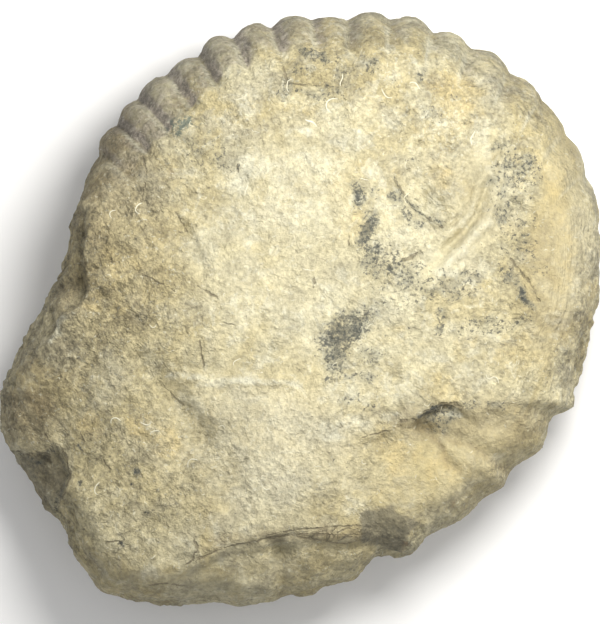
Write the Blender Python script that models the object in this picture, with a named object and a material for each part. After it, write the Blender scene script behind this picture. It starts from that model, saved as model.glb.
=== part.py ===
"""Fossil ammonite lying on one flank: a single piece of limestone.

The stone is the mould of a large, coarsely ribbed shell with rock still stuck to its
flank and to its broken end. +Z is up, the stone rests on a worn flat under it, and the
origin is under the middle of its box. Lengths below are in millimetres, and MM turns them
into Blender's metres. Points are (x, y), with x to the right and y away from the viewer.
"""

import math

import bmesh
import bpy
import numpy as np

MM = 0.001

# Driving dimensions
COIL_CENTRE = (20.0, 16.0)  # middle of the round outline of the last whorl
POLE = (40.0, -49.0)  # where the columns of the surface meet, above and below
RIM_HEIGHT = 54.0  # widest line of the whorl above the resting flat
LUMP_RIM_HEIGHT = 42.0  # the same on the broken end at the lower left
FACE_HEIGHT = 104.0  # upper flank at its edge
DOME_HEIGHT = 13.0  # extra height of the rock that covers the flank
UNDER_EDGE_HEIGHT = 9.0  # lower flank at its edge
UNDER_SAG = 14.0  # how far the lower flank would sag below that in its middle
UNDER_MIDDLE = (20.0, -25.0)
UNDER_RADIUS = 130.0
UNDER_SHOULDER = 30.0  # least width of the rounded edge below
LUMP_REACH = (90.0, 190.0)  # distance down and left over which the coil gives way to the broken end

# Ribs: the furrows between them, in degrees about COIL_CENTRE
FURROWS = (
    163.5, 154.5, 145.5, 138.6, 129.6, 121.6, 113.2, 104.5, 95.1, 86.5, 77.7, 68.0, 59.8, 49.2,
    38.8, 32.5, 21.6, 11.0, 1.0, -9.0,
)
RIB_STEPS = 4  # columns from one furrow to the next
RIB_DEPTH = 4.6
RIB_ROUNDNESS = 0.7  # 1 is a sine wave, less is a fuller rib with a sharper furrow
RIB_REACH = (20.0, 42.0)  # full depth up to the first distance from the rim, none past the second
RIB_STRENGTH = ((-9.0, 0.2), (11.0, 0.4), (32.0, 1.0), (145.0, 1.0), (154.5, 0.5), (163.5, 0.2))
CREST_RADIUS = (
    (-9.0, 148.5), (0.0, 151.5), (11.0, 154.5), (20.0, 157.0), (45.0, 158.5), (80.0, 156.0),
    (95.0, 153.0), (125.0, 154.0), (146.0, 156.0), (154.5, 154.0), (163.5, 152.5),
)

# The rest of the outline, clockwise from the last furrow on the right
RIGHT_EDGE = ((163.5, -17), (162.5, -27), (158, -38), (155, -49), (154, -57))
BROKEN_TEETH = (
    (149, -59), (144, -63), (141, -69), (139.5, -75), (137.5, -80), (134.5, -84), (128, -87.5),
    (121.5, -91.5), (118.5, -96), (115, -103), (109, -106.5), (103, -110), (98, -115), (93, -120),
    (84, -125.5), (76, -129), (70, -132), (66.5, -137), (63, -141.5), (55, -142.5), (45, -142.5),
    (39.5, -145), (35, -151), (30, -156),
)
LOWER_EDGE = (
    (21, -157), (12, -160), (5, -164.5), (-5, -163.5), (-16, -168.5), (-30, -170), (-46, -170),
    (-61, -169), (-79, -170), (-93, -168.5), (-104, -165), (-113, -161.5), (-119, -153),
    (-125, -147), (-129, -138), (-133, -128), (-139, -121),
)
PROW_EDGE = (
    (-145, -115), (-150, -106), (-156, -96), (-161, -86), (-167, -77), (-170, -70), (-171, -60),
    (-171, -51), (-167, -40), (-161, -29), (-156, -18), (-149, -6), (-144, 4), (-138, 15),
    (-133.5, 27), (-131, 37), (-130, 47),
)

# Width of the rounded edge, by degrees about POLE
SHOULDER = (
    (-180.0, 26.0), (-160.0, 26.0), (-150.0, 32.0), (-115.0, 38.0), (-90.0, 30.0), (-60.0, 24.0),
    (-10.0, 26.0), (15.0, 36.0), (60.0, 40.0), (125.0, 36.0), (140.0, 26.0), (152.0, 15.0),
    (165.0, 15.0), (172.0, 22.0), (180.0, 26.0),
)

# Hollows and swells of the upper flank: (x, y), radius, height
SWELLS = (
    ((-15.0, 25.0), 115.0, DOME_HEIGHT),
    ((-78.0, 0.0), 42.0, 4.0),
    ((-20.0, -75.0), 45.0, 3.0),
    ((99.0, 40.0), 7.0, 3.0),
    ((150.0, -40.0), 50.0, -7.0),
    ((-165.0, -75.0), 55.0, -22.0),
    ((-60.0, -165.0), 60.0, -8.0),
    ((-150.0, -105.0), 22.0, -10.0),
    ((40.0, -128.0), 16.0, -5.0),
)
# Grooves (negative) and ridges (positive): points, half width, height
LINES = (
    (((82, 39), (90, 45), (97, 52), (101, 68), (106, 78)), 3.0, 3.0),
    (((83, 33), (94, 42), (101, 54), (107, 70)), 2.5, -2.5),
    (((72, 6), (83, 19), (91, 28), (103, 39), (109, 59), (117, 96)), 5.5, 4.5),
    (((-92, -30), (-83, -38), (-64, -60), (-55, -75)), 6.0, -4.5),
    (((-69, 48), (-60, 33), (-56, 20)), 4.0, -2.5),
    (((-69, -41), (0, -43), (20, -40)), 4.0, 2.0),
    (((-136, -79), (-131, -88), (-132, -105)), 4.0, -5.0),
    (((-128, -5), (-136, -14), (-143, -24)), 4.0, 4.0),
    (((-13, -137), (-11, -165)), 4.0, -5.0),
    (((-60, -130), (-57, -142), (-64, -150)), 5.0, -4.0),
    (((67, -70), (89, -79), (116, -88)), 4.5, -4.0),
    (((60, -86), (78, -94), (100, -103)), 4.5, -3.0),
)
# The remnant of the umbilicus: a wall, and a floor that climbs away from it
RECESS_WALL = ((52, 72), (56, 64), (62, 54), (72, 46), (84, 38))
RECESS_DEPTH = 11.0
RECESS_WALL_WIDTH = 7.0
RECESS_LENGTH = 26.0  # how far the floor runs before it is nearly level with the flank
# Layers of rock that have broken away: the edge they broke along, left to right, the drop below
# it, the width of that drop, and the length over which it dies out at its left end
SCARPS = (
    (
        (
            (12, -77), (36, -75), (47, -72), (55, -65), (68, -62), (83, -57), (103, -60),
            (106, -54), (122, -54), (131, -63), (150, -66),
        ),
        9.0, 7.0, 50.0,
    ),
    (
        ((-78, -156), (-52, -142), (-42, -138), (-17, -132), (0, -130), (33, -130), (58, -134)),
        12.0, 8.0, 14.0,
    ),
)

# Rough broken stone: (size, height) of the lumps, coarse to fine
LUMPS = ((46.0, 3.4), (21.0, 2.2), (11.0, 1.0))
SIDE_ROUGHNESS = 2.0  # how much deeper the same lumps cut into the sides
RIM_KEPT = 0.25  # radians either side of the widest line that the lumps leave alone
RIB_CALM = 0.7  # share of the roughness that the ribs are free of
SEED = 21
NOISE_VALUES = 4096
HASH_PRIMES = (73856093, 19349663, 83492791)  # spread neighbouring corners over the values

# Rings of the surface, from the upper pole to the lower one
FACE_RINGS, EDGE_RINGS, UNDER_RINGS = 19, 6, 9

STONE = dict(color=(0.56, 0.49, 0.34, 1.0), roughness=0.88, metallic=0.0)


def clear_scene():
    """Remove every object of the open scene."""
    for obj in list(bpy.data.objects):
        bpy.data.objects.remove(obj, do_unlink=True)


def stone_material():
    """A Principled material in the stone's plain colour."""
    material = bpy.data.materials.new("stone")
    material.use_nodes = True
    shader = material.node_tree.nodes["Principled BSDF"]
    shader.inputs["Base Color"].default_value = STONE["color"]
    shader.inputs["Roughness"].default_value = STONE["roughness"]
    shader.inputs["Metallic"].default_value = STONE["metallic"]
    return material


def ease(value, low, high):
    """0 below low, 1 above high, and a smooth S between them."""
    t = np.clip((value - low) / (high - low), 0.0, 1.0)
    return t * t * (3.0 - 2.0 * t)


def lattice_noise(points, seed):
    """Smooth noise from -1 to 1: random values on whole-number corners, blended between."""
    values = np.random.default_rng(seed).uniform(-1.0, 1.0, NOISE_VALUES)
    cell = np.floor(points).astype(np.int64)
    part = points - cell
    part = part * part * (3.0 - 2.0 * part)
    total = np.zeros(len(points))
    for corner in np.ndindex(2, 2, 2):
        at = cell + corner
        key = np.bitwise_xor.reduce(at * HASH_PRIMES, axis=1) % NOISE_VALUES
        weight = np.prod(np.where(corner, part, 1.0 - part), axis=1)
        total += weight * values[key]
    return total


def distance_to_line(x, y, line):
    """Shortest distance from each point to a line through the given points."""
    nearest = np.full(x.shape, np.inf)
    for (ax, ay), (bx, by) in zip(line[:-1], line[1:]):
        dx, dy = bx - ax, by - ay
        along = np.clip(((x - ax) * dx + (y - ay) * dy) / (dx * dx + dy * dy), 0.0, 1.0)
        nearest = np.minimum(nearest, np.hypot(x - ax - along * dx, y - ay - along * dy))
    return nearest


def rib_stations():
    """The ribbed stretch of the outline, counter-clockwise: points and depth of furrow, 1 to 0."""
    angles = np.radians(FURROWS[::-1])
    steps = np.arange((len(angles) - 1) * RIB_STEPS + 1) / RIB_STEPS
    angle = np.interp(steps, np.arange(len(angles)), angles)
    furrow = 1.0 - np.abs(np.sin(math.pi * steps)) ** RIB_ROUNDNESS
    furrow *= np.interp(np.degrees(angle), *zip(*RIB_STRENGTH))
    radius = np.interp(np.degrees(angle), *zip(*CREST_RADIUS)) - RIB_DEPTH * furrow
    spokes = np.stack([np.cos(angle), np.sin(angle)], axis=1)
    return COIL_CENTRE + radius[:, None] * spokes, furrow


def outline():
    """One point a column, counter-clockwise from the right, and the depth of furrow at each."""
    ribbed, furrow = rib_stations()
    rest = np.array(RIGHT_EDGE + BROKEN_TEETH + LOWER_EDGE + PROW_EDGE, float)[::-1]
    points = np.concatenate([ribbed, rest])
    furrow = np.concatenate([furrow, np.zeros(len(rest))])
    return points, furrow


def flank_height(x, y):
    """Height of the upper flank, before its edge is rounded off."""
    height = np.full(x.shape, FACE_HEIGHT)
    for (cx, cy), radius, rise in SWELLS:
        height += rise * np.exp(-((x - cx) ** 2 + (y - cy) ** 2) / radius**2)
    for line, width, rise in LINES:
        height += rise * np.exp(-((distance_to_line(x, y, line) / width) ** 2))
    for line, drop, width, fade in SCARPS:
        xs, ys = np.array(line, float).T
        below = np.interp(x, xs, ys) - y
        height -= drop * ease(below, 0.0, width) * ease(x, xs[0], xs[0] + fade)
    return height - recess_depth(x, y)


def recess_depth(x, y):
    """Depth of the hollow behind RECESS_WALL: deepest at the wall, with a floor that climbs."""
    wall = np.array(RECESS_WALL, float)
    away = distance_to_line(x, y, RECESS_WALL)
    middle, run = wall.mean(axis=0), wall[-1] - wall[0]
    inside = (x - middle[0]) * -run[1] + (y - middle[1]) * run[0] > 0.0
    floor = ease(away, 0.0, RECESS_WALL_WIDTH) * np.exp(-((away / RECESS_LENGTH) ** 2))
    return np.where(inside, RECESS_DEPTH * floor, 0.0)


def under_height(x, y):
    """Height of the lower flank: a shallow bowl, cut by the plane that the stone rests on."""
    reach = np.hypot(x - UNDER_MIDDLE[0], y - UNDER_MIDDLE[1]) / UNDER_RADIUS
    return UNDER_EDGE_HEIGHT - UNDER_SAG * (1.0 - np.clip(reach, 0.0, 1.0) ** 2)


def ring_plan():
    """For each ring: share of the way to the rounded edge, angle round it, and side, 1 up or -1 down."""
    face = np.arange(FACE_RINGS) / FACE_RINGS
    turn = np.arange(EDGE_RINGS + 1) / EDGE_RINGS * math.pi / 2.0
    under = np.arange(UNDER_RINGS, -1, -1) / UNDER_RINGS
    share = np.concatenate([face, np.ones(2 * EDGE_RINGS + 1), under[1:]])
    angle = np.concatenate([face * 0.0, turn, turn[-2::-1], under[1:] * 0.0])
    side = np.where(np.arange(len(share)) <= FACE_RINGS + EDGE_RINGS, 1.0, -1.0)
    return share, angle, side


def stone_surface():
    """Every ring and column of the stone's surface, as arrays of x, y and z."""
    points, furrow = outline()
    offset = points - POLE
    reach = np.hypot(offset[:, 0], offset[:, 1])
    heading = np.arctan2(offset[:, 1], offset[:, 0])
    edge = np.interp(np.degrees(heading), *zip(*SHOULDER))

    share, angle, side = (part[:, None] for part in ring_plan())
    edge = np.where(side > 0.0, edge, np.maximum(edge, UNDER_SHOULDER))
    radial = share * (reach - edge) + edge * np.sin(angle)
    x = POLE[0] + radial * np.cos(heading)
    y = POLE[1] + radial * np.sin(heading)

    lump = ease(-x - 0.6 * y, *LUMP_REACH)
    rim = RIM_HEIGHT + (LUMP_RIM_HEIGHT - RIM_HEIGHT) * lump
    level = np.where(side > 0.0, flank_height(x, y), under_height(x, y))
    z = rim + (level - rim) * np.cos(angle)

    from_rim = reach - radial
    carved = furrow * (1.0 - ease(from_rim, *RIB_REACH)) * np.cos(angle)
    z -= side * RIB_DEPTH * carved

    rough = np.zeros(x.shape)
    for octave, (size, height) in enumerate(LUMPS):
        spot = np.stack([x, y, z], axis=-1).reshape(-1, 3) / size
        rough += height * lattice_noise(spot, SEED + octave).reshape(x.shape)
    about_coil = np.degrees(np.arctan2(points[:, 1] - COIL_CENTRE[1], points[:, 0] - COIL_CENTRE[0]))
    ribbed = np.interp(about_coil, *zip(*RIB_STRENGTH), left=0.0, right=0.0)
    rough *= 1.0 - RIB_CALM * ribbed * (1.0 - ease(from_rim, *RIB_REACH))
    z += side * rough * np.cos(angle)
    off_rim = 1.0 - np.exp(-(((angle - math.pi / 2.0) / RIM_KEPT) ** 2))
    dent = -SIDE_ROUGHNESS * np.abs(rough) * off_rim * np.sin(angle)
    x += dent * np.cos(heading)
    y += dent * np.sin(heading)
    return x, y, np.maximum(z, 0.0)


def make_ammonite(collection):
    """A sphere whose rings and columns are moved onto the stone's surface."""
    x, y, z = stone_surface()
    rings, columns = x.shape
    mesh = bpy.data.meshes.new("ammonite")
    bm = bmesh.new()
    bmesh.ops.create_uvsphere(bm, u_segments=columns, v_segments=rings - 1, radius=1.0)
    middle = ((x.min() + x.max()) / 2.0, (y.min() + y.max()) / 2.0)
    for vert in bm.verts:
        ring = round(math.acos(max(-1.0, min(1.0, vert.co.z))) / math.pi * (rings - 1))
        column = round(math.atan2(vert.co.y, vert.co.x) / (2.0 * math.pi) * columns) % columns
        vert.co = (
            (x[ring, column] - middle[0]) * MM,
            (y[ring, column] - middle[1]) * MM,
            z[ring, column] * MM,
        )
    bmesh.ops.recalc_face_normals(bm, faces=bm.faces)
    bmesh.ops.triangulate(bm, faces=bm.faces)
    bm.to_mesh(mesh)
    bm.free()
    mesh.materials.append(stone_material())
    stone = bpy.data.objects.new("ammonite", mesh)
    collection.objects.link(stone)
    return stone


clear_scene()
parts = bpy.data.collections.new("fossil ammonite")
bpy.context.scene.collection.children.link(parts)
make_ammonite(parts)
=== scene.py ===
import math

import bpy
import numpy as np
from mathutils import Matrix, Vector


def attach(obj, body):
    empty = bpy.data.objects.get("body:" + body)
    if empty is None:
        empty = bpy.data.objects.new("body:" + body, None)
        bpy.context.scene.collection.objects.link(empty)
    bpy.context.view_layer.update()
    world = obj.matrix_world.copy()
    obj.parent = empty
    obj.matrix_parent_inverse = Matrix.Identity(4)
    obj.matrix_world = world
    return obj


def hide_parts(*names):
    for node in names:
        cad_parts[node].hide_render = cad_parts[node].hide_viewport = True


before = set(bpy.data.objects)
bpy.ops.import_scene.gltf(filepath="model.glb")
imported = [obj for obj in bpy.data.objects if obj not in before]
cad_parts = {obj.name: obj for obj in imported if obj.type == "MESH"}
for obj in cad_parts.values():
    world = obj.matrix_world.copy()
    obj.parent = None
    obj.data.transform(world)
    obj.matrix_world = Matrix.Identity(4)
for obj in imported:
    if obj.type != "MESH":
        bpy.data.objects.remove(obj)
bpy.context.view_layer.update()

# A fossil ammonite lying on its flank. Shapes are worked out in millimetres, with x to the
# right, y away from the viewer and z up, and mm turns them into metres.
mm = 0.001

# shapes and noises that every piece uses


def ease(value, low, high):
    # 3t^2 - 2t^3, with t the share of the way from low to high
    t = np.clip((value - low) / (high - low), 0.0, 1.0)
    return t * t * (3.0 - 2.0 * t)


def cellKey(cell):
    # one of 4096 table rows for each whole-number cell
    return np.bitwise_xor.reduce(cell * (73856093, 19349663, 83492791), axis=-1) % 4096


def latticeNoise(points, seed):
    # random values on whole-number corners, blended between them by 3t^2 - 2t^3, from -1 to 1
    values = np.random.default_rng(seed).uniform(-1.0, 1.0, 4096)
    cell = np.floor(points).astype(np.int64)
    part = points - cell
    part = part * part * (3.0 - 2.0 * part)
    total = np.zeros(points.shape[:-1])
    for corner in np.ndindex(2, 2, 2):
        weight = np.prod(np.where(corner, part, 1.0 - part), axis=-1)
        total += weight * values[cellKey(cell + corner)]
    return total


def facetNoise(points, seed, sharpness=9.0):
    # scattered centres each own a tilted plane; a point takes their mean, weighted by
    # exp(-sharpness * distance^2), so flat chips meet along narrow rounded edges
    table = np.random.default_rng(seed).uniform(-1.0, 1.0, (4096, 7))
    cell = np.floor(points).astype(np.int64)
    total = np.zeros(points.shape[:-1])
    weights = np.zeros(points.shape[:-1])
    for corner in np.ndindex(3, 3, 3):
        own = table[cellKey(cell + corner - 1)]
        away = points - (cell + corner - 0.5 + 0.45 * own[..., :3])
        weight = np.exp(-sharpness * np.sum(away**2, axis=-1))
        total += weight * (np.sum(away * own[..., 3:6], axis=-1) + 0.4 * own[..., 6])
        weights += weight
    return total / weights


def ledgeNoise(points, seed, layers):
    # three octaves of the noise cut into layers: a saw that climbs slowly and drops over the last
    # quarter of each layer, as where thin flakes have broken away, less its mean
    octaves = [latticeNoise(points * 2.0**octave, seed + octave) / 2.0**octave for octave in range(3)]
    value = sum(octaves) * layers
    part = value - np.floor(value)
    return part - ease(part, 0.75, 1.0) - 0.5 + 0.125


def lineDistance(x, y, line):
    # shortest distance from each point to the straight runs between the line's points
    nearest = np.full(np.shape(x), np.inf)
    for (ax, ay), (bx, by) in zip(line[:-1], line[1:]):
        dx, dy = bx - ax, by - ay
        along = np.clip(((x - ax) * dx + (y - ay) * dy) / (dx * dx + dy * dy), 0.0, 1.0)
        nearest = np.minimum(nearest, np.hypot(x - ax - along * dx, y - ay - along * dy))
    return nearest


def insidePolygon(x, y, corners):
    # distance to the polygon's sides, positive inside: the sign flips at each side that a line to
    # the right of the point crosses
    crossed = np.zeros(np.shape(x), bool)
    for (ax, ay), (bx, by) in zip(corners, corners[1:] + corners[:1]):
        spans = (ay > y) != (by > y)
        crossing = ax + (y - ay) * (bx - ax) / (by - ay if by != ay else 1.0)
        crossed ^= spans & (x < crossing)
    away = lineDistance(x, y, corners + corners[:1])
    return np.where(crossed, away, -away)


def roundedLine(points, steps):
    # Catmull-Rom curve: a cubic through the points, each slope along the line between its neighbours
    p = np.asarray(points, float)
    slope = (np.roll(p, -1, axis=0) - np.roll(p, 1, axis=0)) / 2.0
    slope[0], slope[-1] = p[1] - p[0], p[-1] - p[-2]
    t = (np.arange(steps) / steps)[None, :, None]
    start = (2 * t**3 - 3 * t**2 + 1) * p[:-1, None] + (t**3 - 2 * t**2 + t) * slope[:-1, None]
    end = (3 * t**2 - 2 * t**3) * p[1:, None] + (t**3 - t**2) * slope[1:, None]
    return np.concatenate([(start + end).reshape(-1, 2), p[-1:]])


def nearestLine(x, y, lines, reach=4.0, taper=2.0):
    # signed distance to whichever line is nearest, which is 0 on it, and its half width, which tapers
    # to 0 past its ends and towards the reach to either side, in millimetres
    nearest = np.full(x.shape, reach)
    width = np.zeros(x.shape)
    for points, halfWidth in lines:
        points = np.array(points, float)
        for i, (start, end) in enumerate(zip(points[:-1], points[1:])):
            length = np.hypot(*(end - start))
            ahead, up = (end - start) / length
            along = (x - start[0]) * ahead + (y - start[1]) * up
            aside = (x - start[0]) * -up + (y - start[1]) * ahead
            before = np.maximum(-along, 0.0)
            after = np.maximum(along - length, 0.0)
            away = np.hypot(aside, before + after)
            first, last = i == 0, i == len(points) - 2
            atEnd = ease(before, 0.0, taper) * first + ease(after, 0.0, taper) * last
            closer = away < np.abs(nearest)
            nearest = np.where(closer, np.where(aside < 0.0, -away, away), nearest)
            beside = 1.0 - ease(away, 0.625 * reach, reach)
            width = np.where(closer, halfWidth * (1.0 - atEnd) * beside, width)
    return nearest, width


def ovals(x, y, places):
    # the strongest oval at each point, each one falling off as exp(-0.7 * distance^4)
    strongest = np.zeros(np.shape(x))
    for (cx, cy), (wide, high), degrees, strength in places:
        c, s = math.cos(math.radians(degrees)), math.sin(math.radians(degrees))
        u = ((x - cx) * c + (y - cy) * s) / wide
        v = ((y - cy) * c - (x - cx) * s) / high
        strongest = np.maximum(strongest, strength * np.exp(-0.7 * (u * u + v * v) ** 2))
    return strongest


def addMesh(name, points, faces, attributes=()):
    mesh = bpy.data.meshes.new(name)
    mesh.from_pydata((points * mm).tolist(), [], faces)
    for label, values in dict(attributes).items():
        store = mesh.attributes.new(label, "FLOAT", "POINT")
        store.data.foreach_set("value", np.ascontiguousarray(values, np.float32).ravel())
    mesh.shade_smooth()
    piece = bpy.data.objects.new(name, mesh)
    bpy.context.scene.collection.objects.link(piece)
    return piece


# the stone's main form

coil = {
    "centre": (20.0, 16.0),  # middle of the round outline
    "pole": (40.0, -49.0),  # where the columns of the grid meet
    "rimHeight": 54.0,
    "lumpRimHeight": 42.0,  # the same line on the broken end, lower left
    "lumpReach": (90.0, 190.0),  # from the middle towards that end: none of it, then all
    "lumpLean": 0.6,  # how far that end lies down rather than left
    "faceHeight": 104.0,
    "underEdgeHeight": 9.0,
    "underSag": 14.0,
    "underMiddle": (20.0, -25.0),
    "underRadius": 130.0,
    "underShoulder": 30.0,
    "columns": 620,
    "faceRows": 112,
    "shoulderRows": 22,
    "underShoulderRows": 11,
    "underRows": 14,
    "rowCrowding": 0.85,  # below 1 the rows crowd towards the rim
    "ribSteps": 40,  # points of the outline from one furrow to the next
    "edgeSteps": 12,  # the same from one point of the broken edge to the next
}

ribs = {
    "furrows": (  # degrees about the coil's centre, radius, how far the next rib stands out
        (-9, 149, 1.4), (1, 151, 0.4), (11, 153.6, 2), (21.6, 154, 2.3), (31.5, 154.8, 1.9),
        (40.2, 155.8, 2), (49.2, 153.6, 3.9), (59.2, 151.8, 4), (68, 150.2, 4.4),
        (77.8, 150.2, 4.9), (87.2, 145.8, 2.4), (95.1, 147, 4.4), (104.3, 145.8, 4.6),
        (113.2, 147.8, 5.4), (121.8, 147.6, 3), (129.8, 148.8, 3.5), (138.2, 150.5, 3),
        (145.4, 150.6, 3.2), (153.2, 150.6, 1.6), (163.5, 150.8, 0),
    ),
    "crest": 0.9,  # below 1 the crests lie nearer to the right-hand furrow
    "roundness": 1.15,  # below 1 the ribs are full and the furrows sharp
    "depth": 4.6,  # of the furrows on the face
    "faceCrest": 0.72,  # the same two for the face
    "faceRoundness": 0.9,
    "reach": (18.0, 40.0),  # from the rim: full depth, then none
    "strength": (  # by degrees about the coil's centre
        (-9, 0.2), (11, 0.35), (31.5, 0.6), (49.2, 0.9), (145, 1), (153, 0.5), (163.5, 0.2),
    ),
    # shares of the depth and of the reach, by the ribs' count from the right
    "faceShare": ((0, 0.2), (5, 0.25), (8, 0.4), (10, 0.7), (12, 1)),
    "reachShare": ((0, 0.35), (6, 0.45), (9, 0.75), (12, 1), (16, 1.15)),
    "calm": 0.7,  # share of the stone's lumps that the ribs are free of
}

brokenEdge = (  # the rest of the outline, clockwise from the last furrow on the right
    (165, -17), (163.5, -27.5), (161, -39), (157.5, -49.5), (156, -58), (150.5, -61), (144.5, -63.5),
    (142.5, -69.5), (141, -75.5), (138.5, -80.5), (135, -84.5), (128.5, -88), (122.5, -92.5),
    (118.5, -96.5), (115.5, -103.5), (109.5, -107), (103.5, -110.5), (98.5, -115.5), (94, -121),
    (84.5, -126), (76.5, -130), (71.5, -133.5), (67.5, -138), (63.5, -142.5), (55, -143.5), (46, -144),
    (41.5, -146.5), (35.5, -151.5), (30, -156.5), (21, -157.5), (12, -160.5), (5, -164.5), (-5, -165.5),
    (-16, -169.5), (-30, -170), (-46, -170.5), (-61, -170), (-79, -170), (-93, -169), (-104.5, -166),
    (-113, -162), (-119.5, -153.5), (-125, -147), (-129.5, -138.5), (-133, -128), (-138, -120),
    (-144.5, -114.5), (-149.5, -105.5), (-156, -96), (-161.5, -86.5), (-166, -76.5), (-170.5, -70),
    (-171, -60), (-171, -51), (-166.5, -40.5), (-160.5, -29.5), (-156, -17.5), (-148.5, -6.5),
    (-143.5, 4), (-137, 14.5), (-132.5, 26.5), (-130.5, 37), (-130, 47),
)

shoulder = (  # width of the rounded edge, by degrees about the pole
    (-180.0, 26.0), (-160.0, 26.0), (-150.0, 32.0), (-115.0, 38.0), (-90.0, 30.0), (-60.0, 24.0),
    (-10.0, 26.0), (15.0, 36.0), (60.0, 40.0), (125.0, 36.0), (140.0, 26.0), (152.0, 15.0),
    (165.0, 15.0), (172.0, 22.0), (180.0, 26.0),
)

relief = {
    "swells": (  # middle, radius, height
        ((-15.0, 25.0), 115.0, 13.0),
        ((-78.0, 0.0), 42.0, 4.0),
        ((-20.0, -75.0), 45.0, 3.0),
        ((99.0, 40.0), 7.0, 3.0),
        ((150.0, -40.0), 50.0, -7.0),
        ((-165.0, -75.0), 55.0, -22.0),
        ((-60.0, -165.0), 60.0, -8.0),
        ((-150.0, -105.0), 22.0, -10.0),
        ((40.0, -128.0), 16.0, -5.0),
    ),
    "lines": (  # points, half width, height: ridges are positive, grooves negative
        (((80, 33), (88, 39), (95, 46), (99, 61.5), (103.5, 71)), 3.0, 3.0),
        (((81, 27), (92, 36), (99, 48), (105, 63.5)), 2.5, -2.5),
        (((72, 5), (83, 18.5), (93, 29.5), (104, 41), (109, 55), (115.5, 88.5)), 4.0, 4.5),
        (((-88.5, -34), (-79.5, -41.5), (-61.5, -63), (-52.5, -77.5)), 6.0, -4.5),
        (((-66, 41.5), (-57.5, 27), (-53.5, 14)), 4.0, -2.5),
        (((-66, -45), (-30, -46.5), (-4, -46)), 3.2, 1.3),
        (((-128.5, -11.5), (-133.5, -17), (-138.5, -23.5)), 2.5, 2.5),
        (((-12, -137.5), (-10, -165)), 4.0, -5.0),
        (((-57.5, -130.5), (-54.5, -142), (-61.5, -150)), 5.0, -1.5),
        (((73, -73), (93, -81), (115, -92)), 5.0, -4.0),
        (((68, -71), (76, -81), (86, -95)), 4.0, -4.0),
        (((61.5, 70), (71, 53.5), (82, 47), (93, 53.5), (98.5, 66.5)), 1.8, -1.0),
        (((67, 72), (74, 61), (82, 55), (89, 61), (93, 69)), 1.8, 1.0),
    ),
    "scarps": (  # edge of a broken layer, the fade at its left end, (x, width, height) of its drop
        (
            (
                (12, -79.5), (35.5, -77.5), (46, -74.5), (54, -68), (66.5, -65), (81, -60),
                (90, -62), (100.5, -63), (103.5, -57), (119, -57), (128.5, -65.5), (150.5, -67),
            ),
            50,
            (
                (40, 7, 3), (62, 7, 3.5), (72, 3, 6.5), (88, 3, 7), (96, 8, 5), (106, 18, 6),
                (150, 22, 7),
            ),
        ),
        (
            (
                (-75, -156), (-49.5, -142), (-40, -138.5), (-16, -132.5), (0.5, -130.5),
                (32.5, -130.5), (57.5, -134.5),
            ),
            14,
            ((-60, 6, 7), (0, 9, 8), (50, 9, 8)),
        ),
    ),
    "brokenFaces": (  # corners of a stretch that has broken away, its drop, the drop's width, its slope
        (
            (
                (-114, 50), (-116.5, 36), (-117.5, 24), (-117.5, 10.5), (-116.5, 3),
                (-120.5, -5.5), (-129.5, -10.5), (-136.5, -21), (-146, -28), (-190, -25.5),
                (-169.5, 59),
            ),
            8, 3.2, 0.35,
        ),
        (
            (
                (-133.5, -81), (-130, -87.5), (-128.5, -97.5), (-130, -104.5), (-135, -113),
                (-140.5, -122.5), (-169.5, -130.5), (-189.5, -80.5), (-161, -84), (-150.5, -86.5),
                (-141, -86.5),
            ),
            4, 3, 0.5,
        ),
    ),
    "recessWall": ((51, 65), (55, 57), (61, 47.5), (70.5, 39.5), (82.5, 32)),
    "recessDepth": 11.0,
    "recessWallWidth": 5.0,
    "recessLength": 26.0,
    "recessTaper": 6.0,  # above 0 it dies out towards both ends of the wall
    "lumps": ((46.0, 3.0), (21.0, 1.5), (11.0, 0.7)),  # size, height
    "sideRoughness": 1.3,  # how far the lumps dent the sides, as a share of their height
    "rimKept": 0.25,  # radians of the turn to either side of the rim that stay as they are
    "seed": 21,
}

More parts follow.
